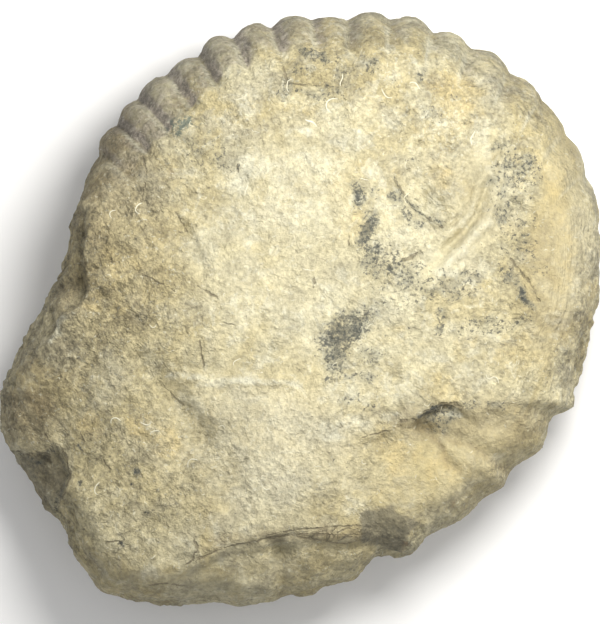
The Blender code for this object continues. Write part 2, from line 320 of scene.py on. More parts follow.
weathering = {
    "chips": ((27.0, 1.5, 31), (12.0, 0.9, 32), (6.0, 0.7, 33)),  # size, height, seed of the facets
    "chipWarp": (14.0, 4.0, 51),  # size, reach and seed of the bends in their edges
    "ledges": ((42.0, 0.8, 2.2, 41), (20.0, 0.6, 2.0, 46)),  # size, drop, layers, seed of the flakes
    "ledgeStretch": 1.3,
    "ledgeSlant": -42.0,  # degrees: most of them run from upper left to lower right
    "smooth": (  # less weathered stretches: middle, half widths, degrees, share taken away
        ((88, 29), (32.0, 10.0), 48.0, 0.8),
        ((103, 63), (14.0, 26.0), -15.0, 0.6),
        ((86, -92), (60.0, 26.0), 25.0, 0.7),
        ((-35, -52), (62.0, 42.0), 0.0, 0.45),
        ((-5, -100), (85.0, 34.0), 0.0, 0.35),
        ((-20, 22), (60.0, 50.0), 0.0, 0.4),
        ((49, 55), (14.0, 8.0), -30.0, 0.5),
        ((10, 53), (70.0, 40.0), 0.0, 0.35),
        ((59, -24), (60.0, 35.0), 0.0, 0.35),
        ((148, 52), (16.0, 72.0), -8.0, 0.75),
        ((-50, -156), (90.0, 14.0), 0.0, 0.5),
    ),
    "ribShare": 0.6,  # of the weathering that is left on the ribs
    "crackWarp": 0.35,  # share of the chips' bends that the cracks take
    "cracks": (  # points, half width, depth
        (((-161, -84), (-150.5, -86.5), (-140.5, -90.5)), 1.8, 1.2),
        (((-66.5, 43.5), (-60.5, 33.5), (-55.5, 27)), 2.2, 1.1),
        (((69.5, -64), (78, -61), (88, -61)), 2.4, 2.4),
        (((-49.5, -142), (-36, -137.5), (-21.5, -134.5), (-1.5, -131)), 2.0, 1.3),
        (((-86.5, -41), (-77, -48.5), (-65.5, -61)), 2.2, 1.1),
        (((-56, 6), (-44.5, -1.5)), 2.2, 1.0),
        (((117.5, 21.5), (128, 9), (133, -1.5)), 2.4, 1.0),
    ),
    "scaleEdge": (  # how far from the rim the matrix covers the ribs, by their count from the right
        (0.0, 20.0), (4.0, 24.0), (8.0, 22.0), (12.0, 24.0), (15.0, 31.0), (19.0, 34.0),
    ),
    "scaleBends": ((19.0, 6.0, 61), (7.0, 3.5, 62)),  # size, reach and seed of the bends in that edge
    "scaleFade": 4.0,  # half width of its fade
    "scaleThickness": 0.5,
    "scaleReach": (34.0, 60.0),  # from the rim: the layer's full thickness, then none
    "sideShare": 0.45,  # how much rougher the broken sides are than the faces
    "sideReach": (4.0, 26.0),  # from the rim: all of that, then none
    "floorFade": 5.0,  # height above the ground over which all of it comes in
}


def makeOutline():
    # ribbed arc: radius = the furrows' own, blended from one to the next, + rise *
    # sin(pi t^crest)^roundness, with t from 0 to 1 across each rib; then the broken edge
    angles, floors, rises = np.array(ribs["furrows"]).T
    counts = np.arange(len(angles))
    steps = np.linspace(0.0, len(angles) - 1.0, coil["ribSteps"] * (len(angles) - 1) + 1)
    whole = np.minimum(steps.astype(int), len(angles) - 2)
    across = steps - whole
    degrees = np.interp(steps, counts, angles)
    strength = np.interp(degrees, *zip(*ribs["strength"]))
    swell = np.abs(np.sin(math.pi * across ** ribs["crest"])) ** ribs["roundness"]
    faceSwell = np.abs(np.sin(math.pi * across ** ribs["faceCrest"])) ** ribs["faceRoundness"]
    radius = np.interp(steps, counts, floors) + rises[whole] * swell
    turn = np.radians(degrees)
    ribbed = np.stack([np.cos(turn), np.sin(turn)], axis=1) * radius[:, None] + coil["centre"]
    rest = roundedLine([ribbed[-1], *brokenEdge[::-1], ribbed[0]], coil["edgeSteps"])[1:-1]
    blank = np.zeros(len(rest))
    offset = np.concatenate([ribbed, rest]) - coil["pole"]
    heading = np.arctan2(offset[:, 1], offset[:, 0])
    order = np.argsort(heading)
    return {
        "heading": heading[order],
        "reach": np.hypot(offset[:, 0], offset[:, 1])[order],
        "furrow": np.concatenate([strength * (1.0 - faceSwell), blank])[order],
        "strength": np.concatenate([strength, blank])[order],
        "ribCount": np.concatenate([steps, blank])[order],
    }


outline = makeOutline()


def atHeading(heading, name):
    # the outline's value there, read between its points all the way round
    return np.interp(heading, outline["heading"], outline[name], period=2.0 * math.pi)


def evenHeadings(count):
    # headings at equal steps along the outline's length
    dense = np.linspace(-math.pi, math.pi, 8001)
    reach = atHeading(dense, "reach")
    step = np.hypot(np.diff(reach * np.cos(dense)), np.diff(reach * np.sin(dense)))
    length = np.concatenate([[0.0], np.cumsum(step)])
    return np.interp(np.arange(count) / count * length[-1], length, dense)


def flankHeight(x, y):
    # face height + bell-shaped swells + bell-section lines - eased drops past the scarps and inside
    # the broken faces - the recess
    height = np.full(np.shape(x), coil["faceHeight"])
    for (cx, cy), radius, rise in relief["swells"]:
        height += rise * np.exp(-((x - cx) ** 2 + (y - cy) ** 2) / radius**2)
    for line, width, rise in relief["lines"]:
        height += rise * np.exp(-((lineDistance(x, y, line) / width) ** 2))
    for line, fade, drops in relief["scarps"]:
        xs, ys = np.array(line, float).T
        places, widths, heights = zip(*drops)
        share = ease((np.interp(x, xs, ys) - y) / np.interp(x, places, widths), 0.0, 1.0)
        height -= np.interp(x, places, heights) * share * ease(x, xs[0], xs[0] + fade)
    for corners, drop, width, slope in relief["brokenFaces"]:
        inside = insidePolygon(x, y, corners)
        height -= drop * ease(inside, 0.0, width) + slope * np.maximum(inside, 0.0)
    wall = np.array(relief["recessWall"], float)
    away = lineDistance(x, y, relief["recessWall"])
    middle, run = wall.mean(axis=0), wall[-1] - wall[0]
    inside = (x - middle[0]) * -run[1] + (y - middle[1]) * run[0]
    along = ((x - middle[0]) * run[0] + (y - middle[1]) * run[1]) / (run @ run)
    ends = np.exp(-(along**2) * relief["recessTaper"])
    floor = ease(away, 0.0, relief["recessWallWidth"]) * np.exp(-((away / relief["recessLength"]) ** 2))
    return height - relief["recessDepth"] * floor * ends * (inside > 0.0)


def underHeight(x, y):
    # a shallow bowl that sags towards its middle; mainForm cuts it level at z = 0
    reach = np.hypot(x - coil["underMiddle"][0], y - coil["underMiddle"][1]) / coil["underRadius"]
    return coil["underEdgeHeight"] - coil["underSag"] * (1.0 - np.clip(reach, 0.0, 1.0) ** 2)


def skinGrid():
    # share of the way out, turn round the edge and side (1 above, -1 below) for each row of the skin,
    # from the upper pole over the rim to the lower one, and the heading of each column
    face = (np.arange(1, coil["faceRows"]) / coil["faceRows"]) ** coil["rowCrowding"]
    turnUp = np.linspace(0.0, math.pi / 2.0, coil["shoulderRows"] + 1)
    turnDown = np.linspace(math.pi / 2.0, 0.0, coil["underShoulderRows"] + 1)[1:]
    under = np.arange(coil["underRows"] - 1, 0, -1) / coil["underRows"]
    share = np.concatenate([face, np.ones(len(turnUp) + len(turnDown)), under])[:, None]
    turn = np.concatenate([face * 0.0, turnUp, turnDown, under * 0.0])[:, None]
    side = np.where(np.arange(len(share)) < len(face) + len(turnUp), 1.0, -1.0)[:, None]
    return share, turn, side, evenHeadings(coil["columns"])


def scaleCover(rows, fromRim, heading):
    # 1 where the matrix covers the ribs' inner ends, 0 on the bare ribs, with a ragged edge between
    waves = weathering["scaleBends"]
    bends = sum(reach * latticeNoise(rows / size, seed) for size, reach, seed in waves)
    edge = np.interp(atHeading(heading, "ribCount"), *zip(*weathering["scaleEdge"])) + bends
    return ease(fromRim, edge - weathering["scaleFade"], edge + weathering["scaleFade"])


def mainForm(share, turn, side, heading):
    # on a flank, radius = share * (reach - edge); round the edge, radius = reach - edge + edge *
    # sin(turn) and height = rim + (flank - rim) * cos(turn); ribs, then lumps, are pushed in by the
    # same cos and sin
    reach = atHeading(heading, "reach")
    edge = np.interp(np.degrees(heading), *zip(*shoulder))
    edge = np.where(side > 0.0, edge, np.maximum(edge, coil["underShoulder"]))
    radial = share * (reach - edge) + edge * np.sin(turn)
    x = coil["pole"][0] + radial * np.cos(heading)
    y = coil["pole"][1] + radial * np.sin(heading)

    lump = ease(-x - coil["lumpLean"] * y, *coil["lumpReach"])
    rim = coil["rimHeight"] + (coil["lumpRimHeight"] - coil["rimHeight"]) * lump
    flank = np.where(side > 0.0, flankHeight(x, y), underHeight(x, y))
    z = rim + (flank - rim) * np.cos(turn)
    count = atHeading(heading, "ribCount")
    ribbed = 1.0 - ease((reach - radial) / np.interp(count, *zip(*ribs["reachShare"])), *ribs["reach"])
    spot = np.stack([x, y, z], axis=-1)
    bare = np.where(side > 0.0, 1.0 - scaleCover(spot, reach - radial, heading), 1.0)
    furrow = atHeading(heading, "furrow") * np.interp(count, *zip(*ribs["faceShare"]))
    z -= side * ribs["depth"] * furrow * ribbed * bare * np.cos(turn)
    rough = sum(
        height * latticeNoise(spot / size, relief["seed"] + octave)
        for octave, (size, height) in enumerate(relief["lumps"])
    )
    rough *= 1.0 - ribs["calm"] * atHeading(heading, "strength") * ribbed
    z += side * rough * np.cos(turn)
    dent = -relief["sideRoughness"] * np.abs(rough) * np.sin(turn)
    dent *= 1.0 - np.exp(-(((turn - math.pi / 2.0) / relief["rimKept"]) ** 2))
    x += dent * np.cos(heading)
    y += dent * np.sin(heading)
    return np.stack([x, y, np.maximum(z, 0.0)], axis=-1), reach - radial


def skinNormals(rows):
    # cross product of the steps to the neighbouring columns and rows
    across = np.roll(rows, -1, axis=1) - np.roll(rows, 1, axis=1)
    down = np.gradient(rows, axis=0)
    normal = np.cross(down, across)
    return normal / np.maximum(np.linalg.norm(normal, axis=-1, keepdims=True), 1e-9)


def slanted(points, degrees, stretch):
    # the points turned about z, with the axis that then lies across shortened by the stretch
    c, s = math.cos(math.radians(degrees)), math.sin(math.radians(degrees))
    x = (points[..., 0] * c + points[..., 1] * s) / stretch
    y = points[..., 1] * c - points[..., 0] * s
    return np.stack([x, y, points[..., 2]], axis=-1)


def roughAmount(x, y, side, fromRim, bareRib, strength):
    # 1 on broken stone, less on the smooth stretches above and on the bare ribs, more on the sides
    taken = np.where(side > 0.0, ovals(x, y, weathering["smooth"]), 0.0)
    sides = weathering["sideShare"] * (1.0 - strength) * (1.0 - ease(fromRim, *weathering["sideReach"]))
    return (1.0 - taken) * (1.0 - (1.0 - weathering["ribShare"]) * bareRib) + sides


def weatheredDepth(rows, side, fromRim, heading):
    # chips and flake edges of several sizes - cracks with a bell section + the thin layer that covers
    # the ribs' inner ends
    x, y = rows[..., 0], rows[..., 1]
    strength = atHeading(heading, "strength") * np.ones(x.shape)
    covered = scaleCover(rows, fromRim, heading)
    bareRib = strength * np.where(side > 0.0, 1.0 - covered, 1.0)
    amount = roughAmount(x, y, side, fromRim, bareRib, strength)
    size, reach, seed = weathering["chipWarp"]
    warp = np.stack([latticeNoise(rows / size, seed + axis) for axis in range(3)], axis=-1) * reach
    bent = rows + warp
    chips = sum(height * facetNoise(bent / size, seed) for size, height, seed in weathering["chips"])
    along = slanted(bent, weathering["ledgeSlant"], weathering["ledgeStretch"])
    ledges = np.zeros(x.shape)
    for size, drop, layers, seed in weathering["ledges"]:
        ledges += drop * ledgeNoise(along / size, seed, layers)
    depth = amount * (chips + ledges)
    cracked = np.zeros(x.shape)
    bend = weathering["crackWarp"]
    for line, width, deep in weathering["cracks"]:
        away = lineDistance(x + bend * warp[..., 0], y + bend * warp[..., 1], line)
        cracked = np.maximum(cracked, deep * np.exp(-((away / width) ** 2)))
    cracked = np.where(side > 0.0, cracked, 0.0)
    thinned = 1.0 - ease(fromRim, *weathering["scaleReach"])
    layer = weathering["scaleThickness"] * strength * covered * thinned
    depth += np.where(side > 0.0, layer, 0.0) - cracked
    return {
        "depth": depth * ease(rows[..., 2], 0.0, weathering["floorFade"]),
        "amount": amount,
        "chips": chips,
        "cracked": cracked,
        "bareRib": bareRib,
    }


def closedSkin(count, columns):
    # for rows that close on themselves: a quad between each pair of rows and columns, and a fan of
    # triangles to the point at either end, which follow the rows in the list of points
    here = np.arange(columns)
    after = np.roll(here, -1)
    down = np.arange(count - 1)[:, None] * columns
    below = down + columns
    quads = np.stack([down + here, below + here, below + after, down + after], axis=-1)
    first, last, far = count * columns, count * columns + 1, (count - 1) * columns
    firstFan = np.stack([np.full(columns, first), here, after], axis=-1)
    lastFan = np.stack([far + here, np.full(columns, last), far + after], axis=-1)
    return quads.reshape(-1, 4), np.concatenate([firstFan, lastFan])


# colours that lie on the stone

hairlines = (  # thin open cracks: points, half width
    (((-163.5, -83), (-156, -84), (-149.5, -86.5), (-144.5, -88.5), (-140.5, -90.5)), 0.8),
    (((-151.5, -84.5), (-145, -85), (-140, -86)), 0.6),
    (((-141.5, -75), (-138.5, -80), (-137, -83.5)), 0.7),
    (((-133.5, -81), (-130, -88.5), (-128.5, -98.5), (-130, -104.5), (-135, -113), (-138, -117)), 0.9),
    (((-106, -135.5), (-100, -134.5), (-94.5, -136.5)), 0.6),
    (((-100.5, -138.5), (-100, -145), (-97.5, -148)), 0.5),
    (((-57.5, -133.5), (-55.5, -140.5)), 1.1),
    (((-57.5, -140.5), (-58.5, -145), (-63, -148)), 0.7),
    (
        (
            (-55.5, -144), (-44, -139.5), (-36, -137.5), (-21.5, -134.5), (-1.5, -131), (19, -131),
            (35.5, -131),
        ),
        1,
    ),
    (((-17.5, -131), (-3, -128.5), (13, -127), (33.5, -126)), 0.7),
    (((-1.5, -132.5), (13.5, -134.5), (28, -135.5)), 0.7),
    (((-83, -159), (-73.5, -158.5), (-62, -160)), 0.8), (((35.5, -77.5), (48.5, -74)), 0.7),
    (((56, -68.5), (64, -66.5)), 0.9), (((69.5, -63), (78, -60.5), (85, -59), (90, -61.5)), 2.2),
    (((53, 66), (59, 57.5), (64, 51), (74, 42.5), (79.5, 39.5)), 1),
    (((57.5, 20), (61.5, 21), (65.5, 24)), 1.2), (((8, 10), (8, 5.5)), 0.9),
    (((27.5, 33.5), (27.5, 28.5)), 0.7), (((117.5, 21.5), (128, 9), (133, -1.5)), 0.8),
    (((-34, 72.5), (-33.5, 69.5)), 0.8),
    (((-86.5, 77), (-84, 69.5), (-84.5, 63), (-86.5, 54.5)), 0.8),
    (((-12, 119), (2.5, 118), (17, 117.5)), 0.7), (((-9, 129), (-6.5, 120)), 1),
    (((-68, 46.5), (-64.5, 40.5), (-61.5, 35.5)), 1.1),
    (((-86, 12), (-72.5, 5.5), (-69, 3)), 0.8), (((-56, 5.5), (-45, -1)), 0.9),
    (((-43.5, -14), (-34, -16.5)), 0.7), (((-54.5, -25), (-53.5, -31.5), (-52.5, -38)), 0.7),
    (((-75, -48.5), (-64, -59.5)), 1), (((-118, -74), (-115, -76)), 0.9),
    (((-108, -90), (-105, -94)), 1), (((-88.5, -96), (-86.5, -98.5)), 1.1),
    (((-121.5, -75), (-119.5, -79)), 0.8),
)

marks = {  # middle, half widths, degrees, strength; all on the upper face
    "stainAndShadow": (
        ((24, -20), (16, 9), 38, 1), ((21, -31), (8, 12), 0, 0.75), ((35, -14), (12, 7), 40, 0.7),
        ((18, -44), (3, 3), 0, 0.9), ((29, -43), (4, 3), 0, 0.6), ((39, -44), (5, 3), 0, 0.55),
        ((40, -31), (9, 7), 0, 0.45), ((34, -53), (4, 4), 0, 0.5), ((38, 35), (5, 12), -15, 0.9),
        ((46, 22), (11, 8), -30, 0.8), ((39, 16), (6, 6), 0, 0.6), ((61, 12), (12, 6), 25, 0.55),
        ((64, 3), (14, 9), 0, 0.42), ((54, 55), (3, 4), 0, 0.7), ((33, 56), (4, 9), 0, 0.95),
        ((42, 58), (4, 3), 0, 0.5), ((7, 137), (8, 4), -20, 0.8), ((14, 131), (3, 3), 0, 0.7),
        ((21, 133), (2, 7), 0, 0.6), ((39, 130), (4, 6), 0, 0.75), ((-7, 115), (4, 7), 0, 0.5),
        ((19, 116), (7, 4), 0, 0.5), ((7, 112), (13, 2), 0, 0.5), ((25, 125), (7, 4), 0, 0.4),
        ((1, 128), (8, 6), 0, 0.35), ((-57, 79), (4, 11), 20, 0.45),
        ((-41, 73), (8, 6), -30, 0.45), ((-48, 84), (11, 9), 0, 0.25),
        ((-25, 69), (6, 4), 0, 0.3), ((68, 122), (3, 6), 0, 0.5), ((86, 111), (3, 3), 0, 0.5),
        ((51, 120), (3, 3), 0, 0.4), ((73, 103), (8, 4), -30, 0.35), ((64, 76), (7, 2), 0, 0.25),
        ((112, 84), (6, 3), 0, 0.7), ((116, 74), (10, 7), 0, 0.6), ((127, 74), (8, 7), 0, 0.6),
        ((122, 66), (13, 8), 0, 0.55), ((108, 65), (4, 3), 0, 0.5), ((116, 56), (12, 6), 0, 0.45),
        ((114, 44), (10, 4), -30, 0.6), ((124, 42), (8, 4), 0, 0.4), ((116, 31), (9, 8), 0, 0.4),
        ((124, 26), (9, 8), 0, 0.4), ((114, 13), (3, 5), 30, 0.6), ((125, 0), (3, 8), 32, 0.9),
        ((120, 8), (3, 4), 30, 0.5), ((88, 4), (12, 6), 0, 0.5), ((95, 10), (8, 6), 0, 0.5),
        ((78, -14), (3, 7), -20, 0.75), ((97, -13), (6, 3), 0, 0.5),
        ((109, -16), (7, 6), 0, 0.55), ((123, -13), (7, 3), 0, 0.5), ((92, -20), (14, 6), 0, 0.3),
        ((133, 12), (6, 9), 0, 0.3), ((56, 49), (2, 5), 25, 0.8), ((62, 43), (2, 4), 35, 0.8),
        ((68, 40), (4, 2), -30, 0.7), ((79, -66), (11, 5), 0, 0.62), ((76, -73), (7, 3), 0, 0.5),
        ((110, -60), (6, 3), 0, 0.55), ((96, -59), (4, 3), 0, 0.5), ((33, -62), (4, 3), 0, 0.4),
        ((39, -60), (6, 3), 0, 0.35), ((17, -95), (8, 4), 0, 0.25), ((25, -92), (9, 6), 0, 0.25),
        ((28, -57), (9, 4), 0, 0.4), ((70, -55), (3, 2), 0, 0.3), ((78, 11), (9, 4), 30, 0.4),
        ((55, -4), (11, 6), 0, 0.3), ((68, 6), (52, 40), 25, 0.12),
        ((115, 44), (26, 55), -10, 0.16), ((6, 124), (50, 14), 0, 0.14),
        ((-123, -82), (1.8, 1.2), -40, 1), ((-112, -86.5), (1.6, 1.4), 0, 1),
        ((-90.5, -96), (2, 1.3), -30, 1), ((-93.5, -104), (1.6, 1), 0, 1),
        ((-122, -103), (1.2, 2.4), -35, 1), ((-98, -135), (2.2, 1.2), 30, 1),
        ((-84, -120), (1.5, 1.1), 0, 1), ((37, -34), (30, 34), 0, 0.14),
        ((58, 8), (20, 12), 20, 0.32), ((73, 56), (16, 12), -45, 0.2),
        ((82, 22), (16, 10), 42, 0.16),
    ),
    "teal": (((-60, 94), (13, 5), 0, 0.9),),
    "ochre": (
        ((88, 108), (15, 18), -20, 0.85), ((82, 119), (11, 7), 0, 0.6),
        ((77, 70), (8, 12), 0, 0.6), ((52, 66), (8, 6), 0, 0.4), ((22, 66), (11, 7), 0, 0.4),
        ((78, -52), (16, 8), 0, 0.5), ((-80, -75), (20, 10), -30, 0.8),
        ((-115, -68), (11, 8), 0, 0.7), ((57, -87), (13, 11), 0, 0.7),
        ((46, -79), (11, 8), 0, 0.5), ((81, -95), (14, 11), 0, 0.5),
        ((138, 61), (11, 22), 0, 0.5), ((146, 23), (9, 28), 0, 0.45),
        ((119, -28), (16, 11), 0, 0.45), ((92, -28), (11, 8), 0, 0.4),
        ((57, -81), (7, 6), 0, 0.6), ((-31, 104), (22, 11), 0, 0.35),
        ((1, 104), (22, 9), 0, 0.35), ((-96, 17), (16, 11), 0, 0.5),
        ((-107, -4), (16, 9), 0, 0.4), ((118, -63), (7, 3), 0, 0.5), ((33, 41), (4, 11), 0, 0.6),
        ((31, 76), (13, 6), 0, 0.4), ((-53, -111), (22, 11), 0, 0.2),
        ((17, 126), (22, 8), 0, 0.2), ((66, 99), (13, 11), 0, 0.35),
        ((49, -25), (11, 11), 0, 0.35), ((54, -101), (22, 8), 0, 0.3),
    ),
    "rust": (
        ((-71, 69), (4, 3), 0, 0.6), ((-78, 72), (6, 3), 0, 0.4), ((59, -137), (4, 3), 0, 0.75),
        ((86, -115), (3, 3), 0, 0.55), ((-118, -67), (4, 3), 0, 0.5),
        ((-90, -81), (4, 7), 0, 0.4), ((111, -25), (9, 7), 0, 0.35), ((101, -31), (4, 3), 0, 0.4),
    ),
    "chalk": (
        ((-29, 104), (7, 9), 0, 0.7), ((-40, 98), (6, 6), 0, 0.5), ((4, 92), (4, 2), -40, 1),
        ((-24, 71), (12, 8), 0, 0.8), ((-34, 63), (9, 8), 0, 0.6), ((-31, 44), (13, 9), 0, 0.5),
        ((-53, 28), (8, 11), 30, 0.5), ((1, 66), (22, 16), 0, 0.4), ((70, 22), (9, 4), 35, 0.5),
        ((60, 34), (12, 9), 0, 0.2), ((52, 28), (10, 9), 0, 0.4), ((92, 22), (6, 7), 35, 0.25),
        ((97, 35), (4, 3), 0, 0.8), ((-34, -47), (22, 2), -3, 0.9), ((-60, -45), (11, 2), 0, 0.7),
        ((17, -4), (8, 9), 0, 0.5), ((77, 99), (13, 11), 0, 0.5), ((73, 56), (16, 12), -45, 0.35),
        ((52, 98), (9, 8), 0, 0.5), ((55, 126), (11, 8), 0, 0.4), ((17, 98), (8, 6), 0, 0.4),
        ((28, 87), (11, 6), 0, 0.4), ((98, 94), (3, 8), 0, 0.6), ((103, 88), (3, 11), -15, 0.6),
        ((82, 83), (11, 8), 0, 0.4), ((119, 61), (13, 16), 0, 0.4), ((46, -4), (16, 9), 0, 0.4),
        ((38, -31), (16, 16), 0, 0.3), ((25, -53), (11, 6), 0, 0.6), ((17, -74), (8, 4), 0, 0.7),
        ((30, -71), (11, 4), 0, 0.5), ((51, -66), (7, 4), 0, 0.5), ((86, -64), (6, 2), 0, 0.9),
        ((-80, -71), (8, 3), -30, 0.6), ((-30, -70), (50, 18), 0, 0.3),
        ((-30, -88), (36, 18), 0, 0.35), ((-60, -60), (8, 6), -40, 0.5),
        ((-20, -102), (40, 12), 0, 0.35), ((33, -116), (8, 6), 0, 0.5),
        ((25, -133), (6, 2), 0, 0.3), ((-5, 46), (28, 11), 0, 0.45), ((1, -21), (11, 16), 0, 0.3),
        ((-28, -5), (16, 11), 0, 0.4), ((75, -34), (6, 4), 0, 0.6), ((105, -47), (3, 2), 0, 0.6),
        ((11, -15), (3, 11), 30, 0.6), ((54, -52), (13, 6), 0, 0.5),
    ),
    "tan": (
        ((135, 54), (20, 75), -12, 0.8), ((73, -94), (75, 32), 22, 0.75),
        ((-88, -85), (56, 46), 0, 0.85), ((93, 101), (28, 24), -20, 0.25),
        ((115, -78), (22, 14), -30, 0.3), ((-95, 8), (38, 45), 0, 0.95),
        ((20, -150), (60, 16), 0, 0.5),
    ),
    "cream": (  # where the stone is cleanest
        ((20, 38), (85, 60), 20, 1), ((59, -34), (70, 40), 0, 0.8),
        ((-19, -63), (60, 50), -20, 0.8), ((-36, -72), (44, 26), 0, 1),
    ),
    "bright": (  # where it is palest
        ((-25, -84), (62, 34), -8, 1), ((100, 118), (14, 16), 0, 0.6),
    ),
    "brownAndShade": (  # where it is brown and dull, and painted shade on the left side, the steep broken faces at the lower left, under the scarps and in the valleys below them
        ((-148, -23), (38, 90), -30, 0.5), ((-58, -162), (110, 22), 0, 0.2),
        ((104, -69), (38, 13), 0, 0.6), ((101, -85), (16, 8), -20, 0.35),
        ((-111, 64), (26, 50), -25, 0.8), ((109, -101), (40, 20), 40, 0.3),
        ((20, -140), (50, 12), 0, 0.2), ((-149, -101), (16, 22), -25, 0.9),
        ((-131, 2), (9, 15), -25, 0.8), ((-152, -64), (18, 18), 0, 0.95),
        ((64, -69), (16, 9), 0, 0.7), ((-97, 22), (26, 55), -10, 0.4),
        ((148, 48), (12, 50), -8, 0.3), ((147, 14), (22, 45), -4, 0.5),
        ((97, 58), (20, 32), 0, 0.33),
    ),
    "hackly": (  # where the broken grain is strongest
        ((-100, 5), (44, 64), 0, 0.45), ((-92, -82), (46, 42), 0, 0.25),
    ),
    "raggedness": (7.0, 3.0, 71),  # size, reach and seed of the bends in the edges of the marks
    "bands": (  # kind, points, half width, strength
        # the first four bands are painted shade in the valleys below the lower right scarp, along that
        # scarp's foot and under the bottom ledge
        ("brownAndShade", ((70, -72), (77, -82), (86, -95)), 3.2, 0.8),
        ("brownAndShade", ((76, -74), (93, -82), (115, -93)), 3.6, 0.75),
        ("brownAndShade", ((70, -67), (80, -64), (92, -65), (104, -62), (122, -61)), 5, 0.5),
        ("brownAndShade", ((-45, -137), (-20, -132), (5, -130), (36, -131)), 5, 0.7),
        ("chalk", ((73, 6), (83, 18.5), (93, 29.5), (104, 41)), 2.2, 0.65),
        ("chalk", ((82, 34), (89, 40), (96, 47), (99, 59.5)), 1.4, 0.4),
        ("chalk", ((-128.5, -10.5), (-133.5, -17), (-138.5, -23.5)), 1.4, 0.9),
        ("chalk", ((-53.5, -47), (-28, -46), (-2, -48)), 1.6, 0.9),
        ("stainAndShadow", ((52, 65), (58, 57), (63.5, 50.5), (71.5, 43.5), (78, 40)), 2.2, 0.7),
        # painted shadow under the overhang of the lower right scarp
        ("stainAndShadow", ((66, -65), (74.5, -61.5), (84, -61.5)), 1.5, 0.9),
        ("stainAndShadow", ((-163, -82), (-152, -87), (-140, -89)), 1.2, 0.6),
        ("stainAndShadow", ((-136, -80), (-131.5, -97), (-137.5, -118)), 1.3, 0.6),
        ("stainAndShadow", ((-65.5, 65), (-63.5, 76.5), (-69, 84)), 2, 0.35),
    ),
    "patches": (  # corners and strength of broken faces darker than the rest: a grey patch, and the steep face at the lower left, partly painted shade
        (
            (
                (34.5, -119), (38.5, -117), (51.5, -114), (55, -119), (69, -125), (56, -139.5),
                (35.5, -135.5),
            ),
            0.72,
        ),
        (
            (
                (-134, -80), (-131, -87), (-129, -97), (-131, -104), (-136, -112), (-141, -123),
                (-170, -130), (-190, -80), (-161, -84), (-151, -87), (-142, -84),
            ),
            0.5,
        ),
    ),
    "underDusk": 0.8,  # below the rim
    "lowShade": (0.55, 70.0, 25.0),  # painted shade low on the sides: strength, height where it starts, how far down it is full
    "litSide": (0.2, 0.4, 0.9, 0.75),  # side lit by the right-hand lamp: heading, cosines from it where it comes in, share of the painted shade spared there
    "ribTone": (  # how dark the bare ribs are, by their count from the right
        (0, 0.1), (4, 0.3), (6, 0.45), (10, 0.55), (12, 0.9), (19, 1),
    ),
    "ribBrownAndShade": (0.52, 0.42),  # of that, the ribs' own brown on the whole rib and painted shade more on its left flank
    "leftFlank": (0.6, 0.82, 0.93),  # shares of the way across where the painted shade on the left flank starts, is full, fades to half
    "highlightLine": (0.07, 0.05, 4.0, 12.0),  # the painted highlight line: share of the way across, half width, reach from the rim
    "lined": (  # the painted highlight lines that run on over the covered face: strength, counts, reach
        0.9, (3.5, 5.0), (10.0, 12.0), (24.0, 34.0),
    ),
    "hollows": (0.2, 2.2),  # depths of the chips from which dirt and painted shade collect
    # depths of the cracks from which dirt and painted shade collect
    "crackDirtAndShade": (0.5, 2.4),
    # heights of the chips whose tops get a painted highlight
    "rises": (0.2, 2.0),
    "striae": (0.35, 0.75, 0.95, 30.0, 52.0),  # heading, cosines from it, reach from the rim
    "roundRadius": 150.0,  # turns headings into millimetres along the rim
}


def ribColours(count, fromRim, bareRib):
    # bare ribs are brown, with painted shade darkest on their left flanks; a thin painted highlight
    # line, exp(-(offset / half width)^2), runs along each right-hand furrow and on over the covered
    # face
    across = count % 1.0  # 0 at each rib's right-hand furrow, 1 at its left one
    tone = np.interp(count, *zip(*marks["ribTone"]))
    start, full, fade = marks["leftFlank"]
    flank = ease(across, start, full) * (1.0 - 0.5 * ease(across, fade, 1.0))
    whole, extra = marks["ribBrownAndShade"]
    middle, width, low, high = marks["highlightLine"]
    line = np.exp(-(((across - middle) / width) ** 2)) * ease(fromRim, low, high)
    strength, rise, fall, reach = marks["lined"]
    lined = strength * ease(count, *rise) * (1.0 - ease(count, *fall)) * (1.0 - ease(fromRim, *reach))
    return bareRib * tone * (whole + extra * flank), np.maximum(bareRib, lined) * line


def shadeAround(rows, heading):
    # painted shade, in brown, low on the sides, less on the side that faces right, towards the side
    # lamp
    strength, top, depth = marks["lowShade"]
    facing, low, high, spared = marks["litSide"]
    lit = 1.0 - spared * ease(np.cos(heading - facing), low, high)
    return strength * ease(top - rows[..., 2], 0.0, depth) * lit


